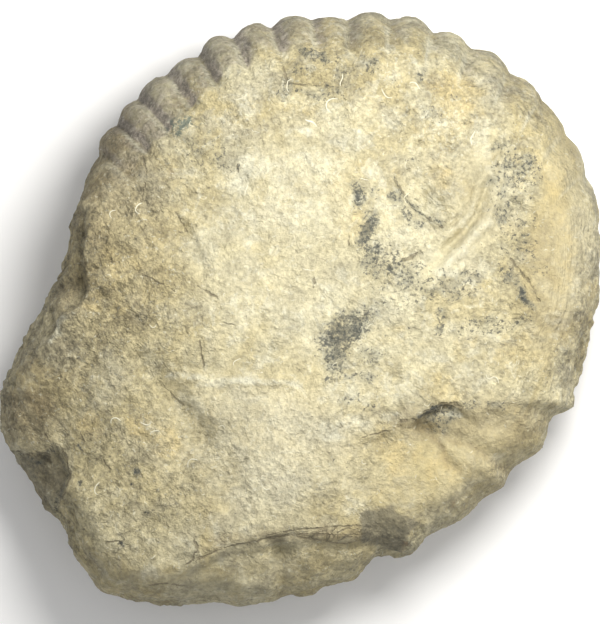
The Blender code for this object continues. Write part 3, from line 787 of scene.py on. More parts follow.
def stoneColours(rows, side, fromRim, heading, worn):
    # one value a point for each thing that colours the stone
    size, reach, seed = marks["raggedness"]
    x = rows[..., 0] + reach * latticeNoise(rows / size, seed)
    y = rows[..., 1] + reach * latticeNoise(rows / size, seed + 1)
    halfX, halfY = 0.5 * (x + rows[..., 0]), 0.5 * (y + rows[..., 1])  # with half of the raggedness
    above = np.where(side > 0.0, 1.0, 0.0)
    kinds = ("stainAndShadow", "teal", "ochre", "rust", "chalk", "cream", "bright", "tan")
    values = {kind: above * ovals(x, y, marks[kind]) for kind in kinds}
    # brown and painted shade from the marks, a fixed share below the rim, and painted shade low on the
    # sides
    values["brownAndShade"] = np.where(side > 0.0, ovals(x, y, marks["brownAndShade"]), marks["underDusk"])
    values["brownAndShade"] = np.maximum(values["brownAndShade"], shadeAround(rows, heading))
    for kind, line, width, strength in marks["bands"]:
        band = strength * np.exp(-((lineDistance(x, y, line) / width) ** 2))
        values[kind] = np.maximum(values[kind], above * band)
    # dark broken patches; the steep face at the lower left is partly painted shade
    values["patchAndShade"] = sum(
        strength * ease(insidePolygon(halfX, halfY, corners), -1.0, 1.0)
        for corners, strength in marks["patches"]
    ) * above
    count = atHeading(heading, "ribCount")
    # the ribs' brown with painted shade on their left flanks, and painted highlight lines along their
    # right-hand furrows
    values["ribBrownAndShade"], highlightLine = ribColours(count, fromRim, worn["bareRib"])
    values["highlightLine"] = highlightLine * above
    values["lineAway"], lineWidth = nearestLine(rows[..., 0], rows[..., 1], hairlines)
    values["lineWidth"] = above * lineWidth
    amount, chips = worn["amount"], worn["chips"]
    values["amount"] = amount + 0.5 * worn["bareRib"] + above * ovals(x, y, marks["hackly"])
    # dirt and painted shade in hollows and cracks; painted highlight on raised chips
    dirtAndShadeInCracks = ease(worn["cracked"], *marks["crackDirtAndShade"])
    values["hollow"] = amount * ease(-chips, *marks["hollows"]) + dirtAndShadeInCracks
    values["raisedHighlight"] = amount * ease(chips, *marks["rises"])
    values["fromRim"] = fromRim * np.ones(x.shape)
    values["along"] = heading * marks["roundRadius"] * np.ones(x.shape)
    values["bareRib"] = worn["bareRib"]
    facing, low, high, inner, outer = marks["striae"]
    onSide = ease(np.cos(heading - facing), low, high)
    values["striated"] = above * onSide * (1.0 - ease(fromRim, inner, outer))
    return values


def makeStone():
    share, turn, side, heading = skinGrid()
    rows, fromRim = mainForm(share, turn, side, heading)
    worn = weatheredDepth(rows, side, fromRim, heading)
    colours = stoneColours(rows, side, fromRim, heading, worn)
    rows = rows + skinNormals(rows) * worn["depth"][..., None]
    rows[..., 2] = np.maximum(rows[..., 2], 0.0)
    flat = rows.reshape(-1, 3)
    middle = (flat.min(axis=0) + flat.max(axis=0)) / 2.0
    shift = np.array([-middle[0], -middle[1], 0.0])
    points = np.concatenate([flat, [rows[0].mean(axis=0)], [rows[-1].mean(axis=0)]]) + shift
    attributes = {
        name: np.concatenate([values.ravel(), [values[0].mean(), values[-1].mean()]])
        for name, values in colours.items()
    }
    quads, fans = closedSkin(*rows.shape[:2])
    stone = addMesh("ammoniteStone", points, quads.tolist() + fans.tolist(), attributes)
    return stone, rows, shift


stone, skinRows, skinShift = makeStone()
print("stone:", len(stone.data.polygons), "faces, shift", skinShift)

# broken shells in the rock

shells = {
    "curls": (  # middle x and y, radius, start and sweep in degrees, thickness
        (-90, 49.5, 2.9, 70.0, 200.0, 0.50), (23.5, 121, 9.0, 195.0, -48.0, 0.45),
        (16, 108, 4.6, 60.0, 190.0, 0.45), (7, 97, 40.0, 62.0, -12.0, 0.85),
        (-104, 46.5, 4.0, 100.0, 110.0, 0.40), (-101.5, -66.5, 3.0, 20.0, 170.0, 0.45),
        (-84.5, -70.5, 3.2, 200.0, 150.0, 0.50), (-80, -73.5, 2.6, 30.0, 160.0, 0.45),
        (-113, -105, 4.2, 110.0, 130.0, 0.45), (108.5, -44.5, 4.0, 10.0, 120.0, 0.50),
        (-31.5, 110, 5.0, 250.0, 100.0, 0.40), (-7, 118, 3.4, 80.0, 170.0, 0.40),
        (47.5, 112, 4.0, 160.0, 140.0, 0.40), (65, 118.5, 5.5, 20.0, 90.0, 0.45),
        (96, 89, 12.0, 150.0, 42.0, 0.55), (59, 56, 4.5, 110.0, 120.0, 0.40),
        (-28.5, 59, 6.0, 300.0, 80.0, 0.40), (5.5, 14, 4.0, 210.0, 110.0, 0.35),
        (-59.5, -90, 4.4, 60.0, 130.0, 0.40), (-18.5, -105.5, 4.0, 190.0, 120.0, 0.40),
    ),
    "scattered": 45,
    "scatteredRadius": (1.0, 3.6),
    "scatteredSweep": (40.0, 150.0),
    "scatteredThickness": (0.16, 0.34),
    "fromRim": 34.0,
    "seed": 8,
    "steps": 11,  # rings along a curl, with its two tips
    "sides": 6,
    "flatness": 0.7,
    "unevenness": 0.16,  # how far a curl strays from a true arc, as a share of its radius
    "mostStray": 0.5,  # the same in millimetres at most
    "slender": 0.75,  # drawn thickness as a share of the listed one
}


def onSkin(x, y):
    # the skin's own grid, read between its points: the heading gives the column, the share of the way
    # out (or, past the flank, the turn round the edge) gives the row
    _, _, _, headings = skinGrid()
    offset = np.stack([x, y], axis=-1) - coil["pole"]
    heading = np.arctan2(offset[..., 1], offset[..., 0])
    radial = np.hypot(offset[..., 0], offset[..., 1])
    column = np.interp(heading, np.append(headings, math.pi), np.arange(len(headings) + 1))
    edge = np.interp(np.degrees(heading), *zip(*shoulder))
    flat = atHeading(heading, "reach") - edge
    out = np.clip(radial / flat, 0.0, 1.0) ** (1.0 / coil["rowCrowding"]) * coil["faceRows"] - 1.0
    turn = np.arcsin(np.clip((radial - flat) / edge, 0.0, 1.0)) / (math.pi / 2.0)
    row = np.clip(out + turn * coil["shoulderRows"], 0.0, len(skinRows) - 2.0)
    i, j = np.floor(row).astype(int), np.floor(column).astype(int)
    u, v = (row - i)[..., None], (column - j)[..., None]
    columns = len(headings)

    def blended(grid):
        near = grid[i, j % columns] * (1.0 - v) + grid[i, (j + 1) % columns] * v
        far = grid[i + 1, j % columns] * (1.0 - v) + grid[i + 1, (j + 1) % columns] * v
        return near * (1.0 - u) + far * u

    return blended(skinRows), blended(skinNormals(skinRows))


def curlList():
    # the named curls, then the scattered ones: places kept where they are far enough from the rim
    rng = np.random.default_rng(shells["seed"])
    count = shells["scattered"]
    spots = rng.uniform(-165.0, 165.0, (4 * count, 2))
    offset = spots - coil["pole"]
    reach = atHeading(np.arctan2(offset[:, 1], offset[:, 0]), "reach")
    spots = spots[reach - np.hypot(offset[:, 0], offset[:, 1]) > shells["fromRim"]][:count]
    count = len(spots)
    low, high = shells["scatteredRadius"]
    radius = low + (high - low) * rng.uniform(0.0, 1.0, count) ** 2
    start = rng.uniform(0.0, 360.0, count)
    sweep = rng.uniform(*shells["scatteredSweep"], count)
    thickness = rng.uniform(*shells["scatteredThickness"], count)
    return np.concatenate([shells["curls"], np.column_stack([spots, radius, start, sweep, thickness])])


def makeShells():
    # each curl is a tube along an arc that lies on the stone: point = skin + thickness * taper *
    # (sideways * cos + normal * flatness * sin), with the taper sin(pi * t)^0.4 closing both tips
    x, y, radius, start, sweep, thickness = curlList().T[:, :, None]
    t = np.linspace(0.0, 1.0, shells["steps"])[None, :]
    angle, middle = np.radians(start + sweep * t), np.radians(start + sweep / 2.0)
    stray = np.minimum(shells["unevenness"] * radius, shells["mostStray"])
    bent = radius + stray * np.sin(2.0 * math.pi * t + 3.0 * start)
    arcX = x + bent * np.cos(angle) - radius * np.cos(middle)
    arcY = y + bent * np.sin(angle) - radius * np.sin(middle)
    spot, normal = onSkin(arcX, arcY)
    tangent = np.gradient(spot, axis=1)
    sideways = np.cross(normal, tangent)
    sideways /= np.linalg.norm(sideways, axis=-1, keepdims=True)
    taper = np.sin(math.pi * t) ** 0.4
    size = (shells["slender"] * thickness * taper)[..., None, None]
    around = np.linspace(0.0, 2.0 * math.pi, shells["sides"], endpoint=False)[:, None]
    upright = shells["flatness"] * normal[:, :, None]
    ring = np.cos(around) * sideways[:, :, None] - np.sin(around) * upright
    tubes = (spot[:, :, None] + size * ring)[:, 1:-1]
    count, rings, sides = tubes.shape[:3]
    points = np.concatenate([tubes.reshape(count, -1, 3), spot[:, :1], spot[:, -1:]], axis=1)

    quads, fans = closedSkin(rings, sides)
    base = np.arange(count)[:, None, None] * points.shape[1]
    faces = (quads + base).reshape(-1, 4).tolist() + (fans + base).reshape(-1, 3).tolist()
    return addMesh("shellBits", points.reshape(-1, 3) + skinShift, faces)


shellBits = makeShells()
print("shells:", len(shellBits.data.polygons), "faces")

# node helpers


def join(tree, value, socket):
    # a socket is linked, anything else becomes the input's own value
    if isinstance(value, bpy.types.NodeSocket):
        tree.links.new(value, socket)
    else:
        socket.default_value = value


def addNode(tree, kind, inputs, **settings):
    made = tree.nodes.new(kind)
    for name, value in settings.items():
        setattr(made, name, value)
    for name, value in inputs.items():
        join(tree, value, made.inputs[name])
    return made


def calc(tree, operation, first, second=0.0):
    return addNode(tree, "ShaderNodeMath", {0: first, 1: second}, operation=operation).outputs[0]


def plus(tree, first, second):
    return calc(tree, "ADD", first, second)


def minus(tree, first, second):
    return calc(tree, "SUBTRACT", first, second)


def times(tree, first, second):
    return calc(tree, "MULTIPLY", first, second)


def vectors(tree, operation, inputs):
    return addNode(tree, "ShaderNodeVectorMath", inputs, operation=operation).outputs


def between(tree, value, low, high, fromValue=0.0, toValue=1.0):
    # eased from one value to the other while the input goes from low to high
    inputs = {"Value": value, "From Min": low, "From Max": high, "To Min": fromValue, "To Max": toValue}
    made = addNode(tree, "ShaderNodeMapRange", inputs, interpolation_type="SMOOTHSTEP")
    return made.outputs["Result"]


def tint(tree, share, under, over, blend="MIX"):
    inputs = {"Factor": share, 6: under, 7: over}
    return addNode(tree, "ShaderNodeMix", inputs, data_type="RGBA", blend_type=blend).outputs[2]


def noise(tree, vector, size, detail, roughness, distortion=0.0):
    # size is the width of the largest lumps in millimetres
    scale = calc(tree, "DIVIDE", 1.0, size)
    inputs = {
        "Vector": vector, "Scale": scale, "Detail": detail, "Roughness": roughness,
        "Distortion": distortion,
    }
    return addNode(tree, "ShaderNodeTexNoise", inputs).outputs["Fac"]


def centres(tree, vector, size):
    # scattered centres at this spacing: their random colours, and each point's offset from its own
    scale = calc(tree, "DIVIDE", 1.0, size)
    cells = addNode(tree, "ShaderNodeTexVoronoi", {"Vector": vector, "Scale": scale}).outputs
    away = vectors(tree, "SUBTRACT", {0: vector, 1: cells["Position"]})[0]
    return cells["Color"], away


def placed(tree, vector, offset, scale=(1.0, 1.0, 1.0)):
    inputs = {"Vector": vector, "Location": offset, "Scale": scale}
    return addNode(tree, "ShaderNodeMapping", inputs).outputs["Vector"]


def leaning(tree, vector, degrees, stretch):
    # coordinates whose pattern is drawn out along a line that leans by these degrees
    turn = (0.0, 0.0, math.radians(degrees))
    inputs = {"Vector": vector, "Rotation": turn, "Scale": (stretch, 1.0, 1.0)}
    return addNode(tree, "ShaderNodeMapping", inputs, vector_type="TEXTURE").outputs["Vector"]


def measured(tree, name):
    return addNode(tree, "ShaderNodeAttribute", {}, attribute_name=name).outputs["Fac"]


def inMillimetres(tree):
    # object coordinates in millimetres, with the pattern drawn out up the sides
    place = addNode(tree, "ShaderNodeTexCoord", {}).outputs["Object"]
    return placed(tree, place, (0.0, 0.0, 0.0), (1000.0, 1000.0, 750.0))


def newGroup(name, inputs, outputs):
    group = bpy.data.node_groups.new(name, "ShaderNodeTree")
    for label, value in inputs.items():
        kind = "NodeSocketVector" if value is None else "NodeSocketFloat"
        socket = group.interface.new_socket(label, in_out="INPUT", socket_type=kind)
        if value is not None:
            socket.default_value = value
    for label in outputs:
        group.interface.new_socket(label, in_out="OUTPUT", socket_type="NodeSocketFloat")
    return group, group.nodes.new("NodeGroupInput").outputs, group.nodes.new("NodeGroupOutput").inputs


def useGroup(tree, group, **inputs):
    made = tree.nodes.new("ShaderNodeGroup")
    made.node_tree = group
    for name, value in inputs.items():
        join(tree, value, made.inputs[name])
    return made.outputs


# effects as node groups, which the materials place with their own values


def cloudGroup():
    # soft-edged clouds: noise with five octaves, eased across the edge value
    inputs = {"Vector": None, "Size": 20.0, "Edge": 0.5, "Softness": 0.1}
    group, given, result = newGroup("stoneClouds", inputs, ["Mask"])
    value = noise(group, given["Vector"], given["Size"], 5.0, 0.6, 0.6)
    low = minus(group, given["Edge"], given["Softness"])
    high = plus(group, given["Edge"], given["Softness"])
    join(group, between(group, value, low, high), result["Mask"])
    return group


def speckGroup():
    # hard-edged ragged specks that cover the stone from nowhere at 0 to everywhere at 1: the noise
    # is cut at 0.72 - 0.44 * cover
    inputs = {"Vector": None, "Size": 2.0, "Cover": 0.3, "Softness": 0.03}
    group, given, result = newGroup("stoneSpecks", inputs, ["Mask"])
    value = noise(group, given["Vector"], given["Size"], 4.0, 0.65, 0.3)
    edge = minus(group, 0.72, times(group, given["Cover"], 0.44))
    high = plus(group, edge, given["Softness"])
    join(group, between(group, value, edge, high), result["Mask"])
    return group


def strokeGroup():
    # short bent strokes, one to a scattered centre: offset from the centre turned into (u, v), then
    # 1 - |v - bend * u^2| / width - (u / length)^2, which tapers to a point at both ends
    inputs = {
        "Vector": None, "Size": 9.0, "Slant": -45.0, "Spread": 30.0, "Length": 4.0, "Width": 0.6,
        "Bend": 0.1, "Cover": 0.5,
    }
    group, given, result = newGroup("stoneStrokes", inputs, ["Mask"])
    colour, away = centres(group, given["Vector"], given["Size"])
    chance = addNode(group, "ShaderNodeSeparateColor", {0: colour}).outputs
    spread = times(group, minus(group, chance[0], 0.5), times(group, given["Spread"], 2.0))
    degrees = plus(group, given["Slant"], spread)
    angle = calc(group, "RADIANS", times(group, degrees, -1.0))
    inputs = {"Vector": away, "Angle": angle}
    turned = addNode(group, "ShaderNodeVectorRotate", inputs, rotation_type="Z_AXIS").outputs[0]
    axes = addNode(group, "ShaderNodeSeparateXYZ", {0: turned}).outputs
    bend = times(group, given["Bend"], minus(group, chance[2], 0.5))
    bent = minus(group, axes[1], times(group, bend, calc(group, "POWER", axes[0], 2.0)))
    across = calc(group, "DIVIDE", calc(group, "ABSOLUTE", bent), given["Width"])
    along = calc(group, "POWER", calc(group, "DIVIDE", axes[0], given["Length"]), 2.0)
    inside = minus(group, minus(group, 1.0, across), along)
    shown = calc(group, "LESS_THAN", chance[1], given["Cover"])
    join(group, times(group, between(group, inside, 0.0, 0.6), shown), result["Mask"])
    return group


def ledgeGroup():
    # edges of thin flakes: a noise cut into layers, flat but for a short rise at the start of each.
    # Height counts the layers and Foot is 1 on the rises
    inputs = {"Vector": None, "Size": 18.0, "Layers": 6.0, "Softness": 0.1}
    group, given, result = newGroup("stoneLedges", inputs, ["Height", "Foot"])
    value = noise(group, given["Vector"], given["Size"], 5.0, 0.6, 0.4)
    layer = times(group, value, given["Layers"])
    whole = calc(group, "FLOOR", layer)
    part = minus(group, layer, whole)
    rise = between(group, part, 0.0, given["Softness"])
    join(group, plus(group, whole, rise), result["Height"])
    join(group, between(group, part, 0.0, given["Softness"], 1.0, 0.0), result["Foot"])
    return group


def grainGroup():
    # the grains of the rock: Height = 0.7 * size * noise, in millimetres, and Tone from 0 to 1
    group, given, result = newGroup("stoneGrain", {"Vector": None, "Size": 2.5}, ["Height", "Tone"])
    value = noise(group, given["Vector"], given["Size"], 5.0, 0.72)
    join(group, times(group, value, times(group, given["Size"], 0.7)), result["Height"])
    join(group, between(group, value, 0.36, 0.64), result["Tone"])
    return group


def facetGroup():
    # broken facets: each scattered centre owns a plane with a random tilt, height = offset from the
    # centre dotted with the tilt, on coordinates bent by a noise so that the edges are ragged. Tone
    # differs by facet
    inputs = {"Vector": None, "Size": 6.0, "Bend": 0.6}
    group, given, result = newGroup("stoneFacets", inputs, ["Height", "Tone"])
    half = (0.5, 0.5, 0.5)
    scale = calc(group, "DIVIDE", 1.4, given["Size"])
    inputs = {"Vector": given["Vector"], "Scale": scale, "Detail": 3.0}
    bends = addNode(group, "ShaderNodeTexNoise", inputs).outputs["Color"]
    centred = vectors(group, "SUBTRACT", {0: bends, 1: half})[0]
    reach = times(group, given["Size"], times(group, given["Bend"], 2.0))
    shift = vectors(group, "SCALE", {0: centred, "Scale": reach})[0]
    bent = vectors(group, "ADD", {0: given["Vector"], 1: shift})[0]
    colour, away = centres(group, bent, given["Size"])
    tilt = vectors(group, "SUBTRACT", {0: colour, 1: half})[0]
    join(group, vectors(group, "DOT_PRODUCT", {0: away, 1: tilt})["Value"], result["Height"])
    chance = addNode(group, "ShaderNodeSeparateColor", {0: colour}).outputs[0]
    join(group, chance, result["Tone"])
    return group


clouds = cloudGroup()
specks = speckGroup()
strokes = strokeGroup()
ledges = ledgeGroup()
grain = grainGroup()
facets = facetGroup()

# the stone's surface

stoneLook = {
    "cream": (0.56, 0.512, 0.335, 1.0),
    "bright": (0.66, 0.6, 0.42, 1.0),
    "tan": (0.46, 0.392, 0.21, 1.0),
    "grey": (0.42, 0.385, 0.265, 1.0),
    # brown, also laid as painted shade
    "brownAndShade": (0.28, 0.226, 0.123, 1.0),
    "ribBrown": (0.222, 0.197, 0.17, 1.0),
    "ribPale": (0.42, 0.372, 0.312, 1.0),
    "chalk": (0.65, 0.63, 0.485, 1.0),
    "ochre": (0.57, 0.46, 0.22, 1.0),
    "rust": (0.34, 0.225, 0.11, 1.0),
    # stains, and painted shadow under the lower right scarp
    "stainAndShadow": (0.055, 0.06, 0.055, 1.0),
    "veil": (0.15, 0.16, 0.135, 1.0),
    "teal": (0.095, 0.13, 0.11, 1.0),
    # dark broken patches, partly painted shade on the steep face at the lower left
    "patchAndShade": (0.168, 0.156, 0.112, 1.0),
    # dirt, also laid as painted shade in hollows and at the flakes' feet
    "dirt": (0.15, 0.125, 0.075, 1.0),
    "roughness": (0.82, 0.97),
    "slant": -45.0,  # degrees: the stone's fabric runs from upper left to lower right
    "stretch": 1.15,  # how far the fabric is drawn out along it
    "shares": {  # the most of each colour that shows
        "bright": 0.4, "ochre": 0.7, "rust": 0.85, "chalk": 0.9, "paleSpecks": 0.5, "highlightLine": 0.6,
        "smallClouds": 0.45, "raisedHighlight": 0.15, "cracks": 0.62, "veil": 0.5, "teal": 0.8,
        "stainSpecks": 0.85, "strays": 0.5,
    },
    "tanClouds": (0.9, 0.55),  # the same where the stone isn't clean and where it is
    "greyClouds": (0.75, 0.5),
    "tanned": (0.85, 0.5),  # the same outside the middling clouds and in them
    "dulled": (0.7, 0.95),  # the same outside the big clouds and in them
    "clouds": {  # offset of the pattern, size in millimetres, edge, softness
        "big": ((0.0, 31.0, 0.0), 38.0, 0.51, 0.09),
        "mid": ((77.0, 31.0, 0.0), 20.0, 0.56, 0.08),
        "small": ((7.0, 131.0, 0.0), 9.0, 0.59, 0.07),
        "streak": ((0.0, 50.0, 9.0), 6.0, 0.5, 0.1),
    },
    "specks": {  # offset, size, softness
        "pale": ((5.0, 40.0, 0.0), 2.6, 0.03),
        "stainAndShadow": ((3.0, 8.0, 50.0), 2.0, 0.04),
        "stray": ((70.0, 8.0, 5.0), 3.4, 0.03),
    },
    "noises": {  # offset, size, detail, roughness, distortion
        "ragged": (None, 11.0, 6.0, 0.66, 0.4),
        "frayed": (None, 5.0, 5.0, 0.7),
        "mottled": ((0.0, 90.0, 0.0), 3.5, 6.0, 0.75),
        "broken": ((30.0, 0.0, 0.0), 16.0, 8.0, 0.7),
        "wobble": (None, 3.5, 4.0, 0.6),
        "parted": ((0.0, 0.0, 70.0), 7.0, 4.0, 0.65),
        "veiled": (None, 9.0, 6.0, 0.7),
        "blotted": ((3.0, 8.0, 50.0), 6.0, 8.0, 0.75),
        "striae": (None, 3.0, 3.0, 0.6),
    },
    "flecks": {  # bits of shell too small to stand out
        "Size": 7.0, "Slant": 20.0, "Spread": 180.0, "Length": 1.6, "Width": 0.45, "Bend": 0.7,
        "Cover": 0.2,
    },
    "grain": 2.5,  # size in millimetres
    "grainTone": 0.46,
    "facetTone": 0.14,
    "facets": ((7.0, 0.6, 0.4), (3.0, 0.75, 0.6)),  # size, steepness and share of the tone
    "ledges": ((18.0, 6.0, 0.5, 0.26), (9.0, 5.0, 0.3, 0.3)),  # size, layers, height, softness
    "brokenHeight": 4.0,
    "ribGrain": 1.9,  # how much higher the grain stands on the bare ribs
    "lineDepth": 0.9,
    "striaeDepth": 3.2,
}


def cloudMask(tree, vector, name):
    offset, size, edge, softness = stoneLook["clouds"][name]
    moved = placed(tree, vector, offset)
    return useGroup(tree, clouds, Vector=moved, Size=size, Edge=edge, Softness=softness)["Mask"]


def speckMask(tree, vector, name, cover):
    offset, size, softness = stoneLook["specks"][name]
    moved = placed(tree, vector, offset)
    return useGroup(tree, specks, Vector=moved, Size=size, Cover=cover, Softness=softness)["Mask"]


def pattern(tree, vector, name):
    offset, *settings = stoneLook["noises"][name]
    return noise(tree, placed(tree, vector, offset) if offset else vector, *settings)


def laid(tree, colour, name, mask, share=None):
    # the named colour over the others, where the mask is, by its share
    share = stoneLook["shares"][name] if share is None else share
    return tint(tree, times(tree, mask, share), colour, stoneLook[name])


def cleanColour(tree, place):
    # clouds of cream, tan and grey with pale ones over them, duller where the stone is brown and where
    # shade is painted
    look = stoneLook
    cream = measured(tree, "cream")
    big = cloudMask(tree, place, "big")
    mid = cloudMask(tree, place, "mid")
    small = cloudMask(tree, place, "small")
    tanShare = between(tree, cream, 0.0, 1.0, *look["tanClouds"])
    greyShare = between(tree, cream, 0.0, 1.0, *look["greyClouds"])
    colour = laid(tree, look["cream"], "tan", big, tanShare)
    colour = laid(tree, colour, "grey", mid, greyShare)
    colour = laid(tree, colour, "chalk", small, look["shares"]["smallClouds"])
    colour = laid(tree, colour, "bright", measured(tree, "bright"))
    tanned = between(tree, mid, 0.0, 1.0, *look["tanned"])
    colour = laid(tree, colour, "tan", measured(tree, "tan"), tanned)
    dulled = between(tree, big, 0.0, 1.0, *look["dulled"])
    return laid(tree, colour, "brownAndShade", measured(tree, "brownAndShade"), dulled)


def earthColour(tree, place, colour):
    # ochre, rust and the brown of the bare ribs with painted shade on their left flanks, in ragged
    # clouds
    ragged = pattern(tree, place, "ragged")
    ochre = plus(tree, times(tree, measured(tree, "ochre"), 0.5), ragged)
    colour = laid(tree, colour, "ochre", between(tree, ochre, 0.6, 1.0))
    rust = plus(tree, times(tree, measured(tree, "rust"), 0.6), ragged)
    colour = laid(tree, colour, "rust", between(tree, rust, 0.75, 1.05))
    # the ribs' own brown, with painted shade on their left flanks
    ribBrownAndShade = measured(tree, "ribBrownAndShade")
    frayed = times(tree, minus(tree, pattern(tree, place, "frayed"), 0.5), 2.6)
    bared = between(tree, plus(tree, ribBrownAndShade, frayed), 0.1, 0.75)
    bared = times(tree, bared, between(tree, ribBrownAndShade, 0.0, 0.9, 0.0, 0.9))
    mottled = between(tree, pattern(tree, place, "mottled"), 0.42, 0.6)
    brown = tint(tree, mottled, stoneLook["ribBrown"], stoneLook["ribPale"])
    return tint(tree, bared, colour, brown)


def chalkColour(tree, place, fabric, amount, colour):
    # chalky streaks, specks and flecks of shell, painted highlight lines along the ribs' furrows, and
    # the dark broken patches, one partly painted shade
    shares = stoneLook["shares"]
    chalk = measured(tree, "chalk")
    streaked = plus(tree, times(tree, cloudMask(tree, fabric, "streak"), 0.6), 0.4)
    colour = laid(tree, colour, "chalk", times(tree, chalk, streaked))
    cover = plus(tree, between(tree, amount, 0.4, 1.2, 0.12, 0.24), times(tree, chalk, 0.3))
    paleSpecks = speckMask(tree, place, "pale", cover)
    flecks = useGroup(tree, strokes, Vector=place, **stoneLook["flecks"])["Mask"]
    pale = calc(tree, "MAXIMUM", paleSpecks, flecks)
    colour = laid(tree, colour, "chalk", pale, shares["paleSpecks"])
    # painted highlight lines along the ribs' right-hand furrows, in chalk
    colour = laid(tree, colour, "chalk", measured(tree, "highlightLine"), shares["highlightLine"])
    return tint(tree, measured(tree, "patchAndShade"), colour, stoneLook["patchAndShade"])


def brokenTextures(tree, place, fabric):
    # the patterns that colour and relief share: grains, broken stone, facets, flakes, open cracks
    look = stoneLook
    (size, _, _), (chipSize, _, _) = look["facets"]
    (largeSize, largeLayers, _, largeSoft), (fineSize, fineLayers, _, fineSoft) = look["ledges"]
    beside = placed(tree, fabric, (20.0, 0.0, 0.0))
    beyond = placed(tree, fabric, (50.0, 0.0, 0.0))
    wobble = times(tree, minus(tree, pattern(tree, place, "wobble"), 0.5), 3.0)
    away = calc(tree, "ABSOLUTE", plus(tree, measured(tree, "lineAway"), wobble))
    parted = between(tree, pattern(tree, place, "parted"), 0.4, 0.6, 0.25, 1.05)
    width = times(tree, measured(tree, "lineWidth"), parted)
    return {
        "grains": useGroup(tree, grain, Vector=place, Size=look["grain"]),
        "broken": pattern(tree, fabric, "broken"),
        "facet": useGroup(tree, facets, Vector=fabric, Size=size),
        "chip": useGroup(tree, facets, Vector=beside, Size=chipSize),
        "large": useGroup(
            tree, ledges, Vector=fabric, Size=largeSize, Layers=largeLayers, Softness=largeSoft
        ),
        "fine": useGroup(
            tree, ledges, Vector=beyond, Size=fineSize, Layers=fineLayers, Softness=fineSoft
        ),
        "opened": between(tree, minus(tree, width, away), -0.1, 0.5),
    }


def brokenColour(tree, broken, amount, colour):
    # light and dark of the grains and of the broken stone, then dirt and painted shade in hollows, at
    # the flakes' feet and in cracks, and a painted highlight on raised chips
    look, shares = stoneLook, stoneLook["shares"]
    contrast = times(tree, look["grainTone"], plus(tree, times(tree, amount, 0.6), 0.25))
    dark = times(tree, minus(tree, broken["grains"]["Tone"], 0.56), contrast)
    hackly = times(tree, between(tree, broken["broken"], 0.42, 0.58, 0.18, -0.07), amount)
    dark = minus(tree, plus(tree, dark, 1.0), hackly)
    (_, _, facetShare), (_, _, chipShare) = look["facets"]
    facetTone = times(tree, broken["facet"]["Tone"], facetShare)
    chipTone = times(tree, broken["chip"]["Tone"], chipShare)
    toned = minus(tree, plus(tree, facetTone, chipTone), 0.5)
    dark = plus(tree, dark, times(tree, times(tree, toned, look["facetTone"]), amount))
    shade = addNode(tree, "ShaderNodeCombineColor", {0: dark, 1: dark, 2: dark}).outputs[0]
    colour = tint(tree, 1.0, colour, shade, "MULTIPLY")
    feet = calc(tree, "MAXIMUM", broken["large"]["Foot"], times(tree, broken["fine"]["Foot"], 0.6))
    feet = times(tree, times(tree, feet, amount), 0.06)
    dirt = plus(tree, feet, times(tree, measured(tree, "hollow"), 0.2))
    colour = tint(tree, calc(tree, "MINIMUM", dirt, 1.0), colour, look["dirt"])
    # painted highlight, in chalk, on the tops of raised chips
    colour = laid(tree, colour, "chalk", measured(tree, "raisedHighlight"), shares["raisedHighlight"])
    return laid(tree, colour, "dirt", broken["opened"], shares["cracks"])


def stainColour(tree, place, broken, amount, colour):
    # the dark stains: a grey veil, ragged blots and fine black specks, with pale specks left in them;
    # one band is painted shadow under a scarp
    shares = stoneLook["shares"]
    stainAndShadow = measured(tree, "stainAndShadow")
    veiled = between(tree, pattern(tree, place, "veiled"), 0.4, 0.6)
    colour = laid(tree, colour, "veil", times(tree, between(tree, stainAndShadow, 0.03, 0.7), veiled))
    blotted = pattern(tree, place, "blotted")
    blots = between(tree, plus(tree, times(tree, stainAndShadow, 0.45), blotted), 0.84, 0.91)
    cover = plus(tree, times(tree, stainAndShadow, 0.4), between(tree, stainAndShadow, 0.02, 0.3, 0.0, 0.22))
    fine = times(tree, speckMask(tree, place, "stainAndShadow", cover), shares["stainSpecks"])
    strayCover = between(tree, amount, 0.4, 1.2, 0.06, 0.2)
    stray = times(tree, speckMask(tree, place, "stray", strayCover), shares["strays"])
    black = calc(tree, "MAXIMUM", calc(tree, "MAXIMUM", blots, fine), stray)
    left = between(tree, broken["grains"]["Tone"], 0.2, 0.9, 0.9, 0.6)
    colour = laid(tree, colour, "stainAndShadow", black, left)
    teal = between(tree, measured(tree, "teal"), 0.1, 0.6)
    return laid(tree, colour, "teal", times(tree, teal, between(tree, blotted, 0.5, 0.58)))


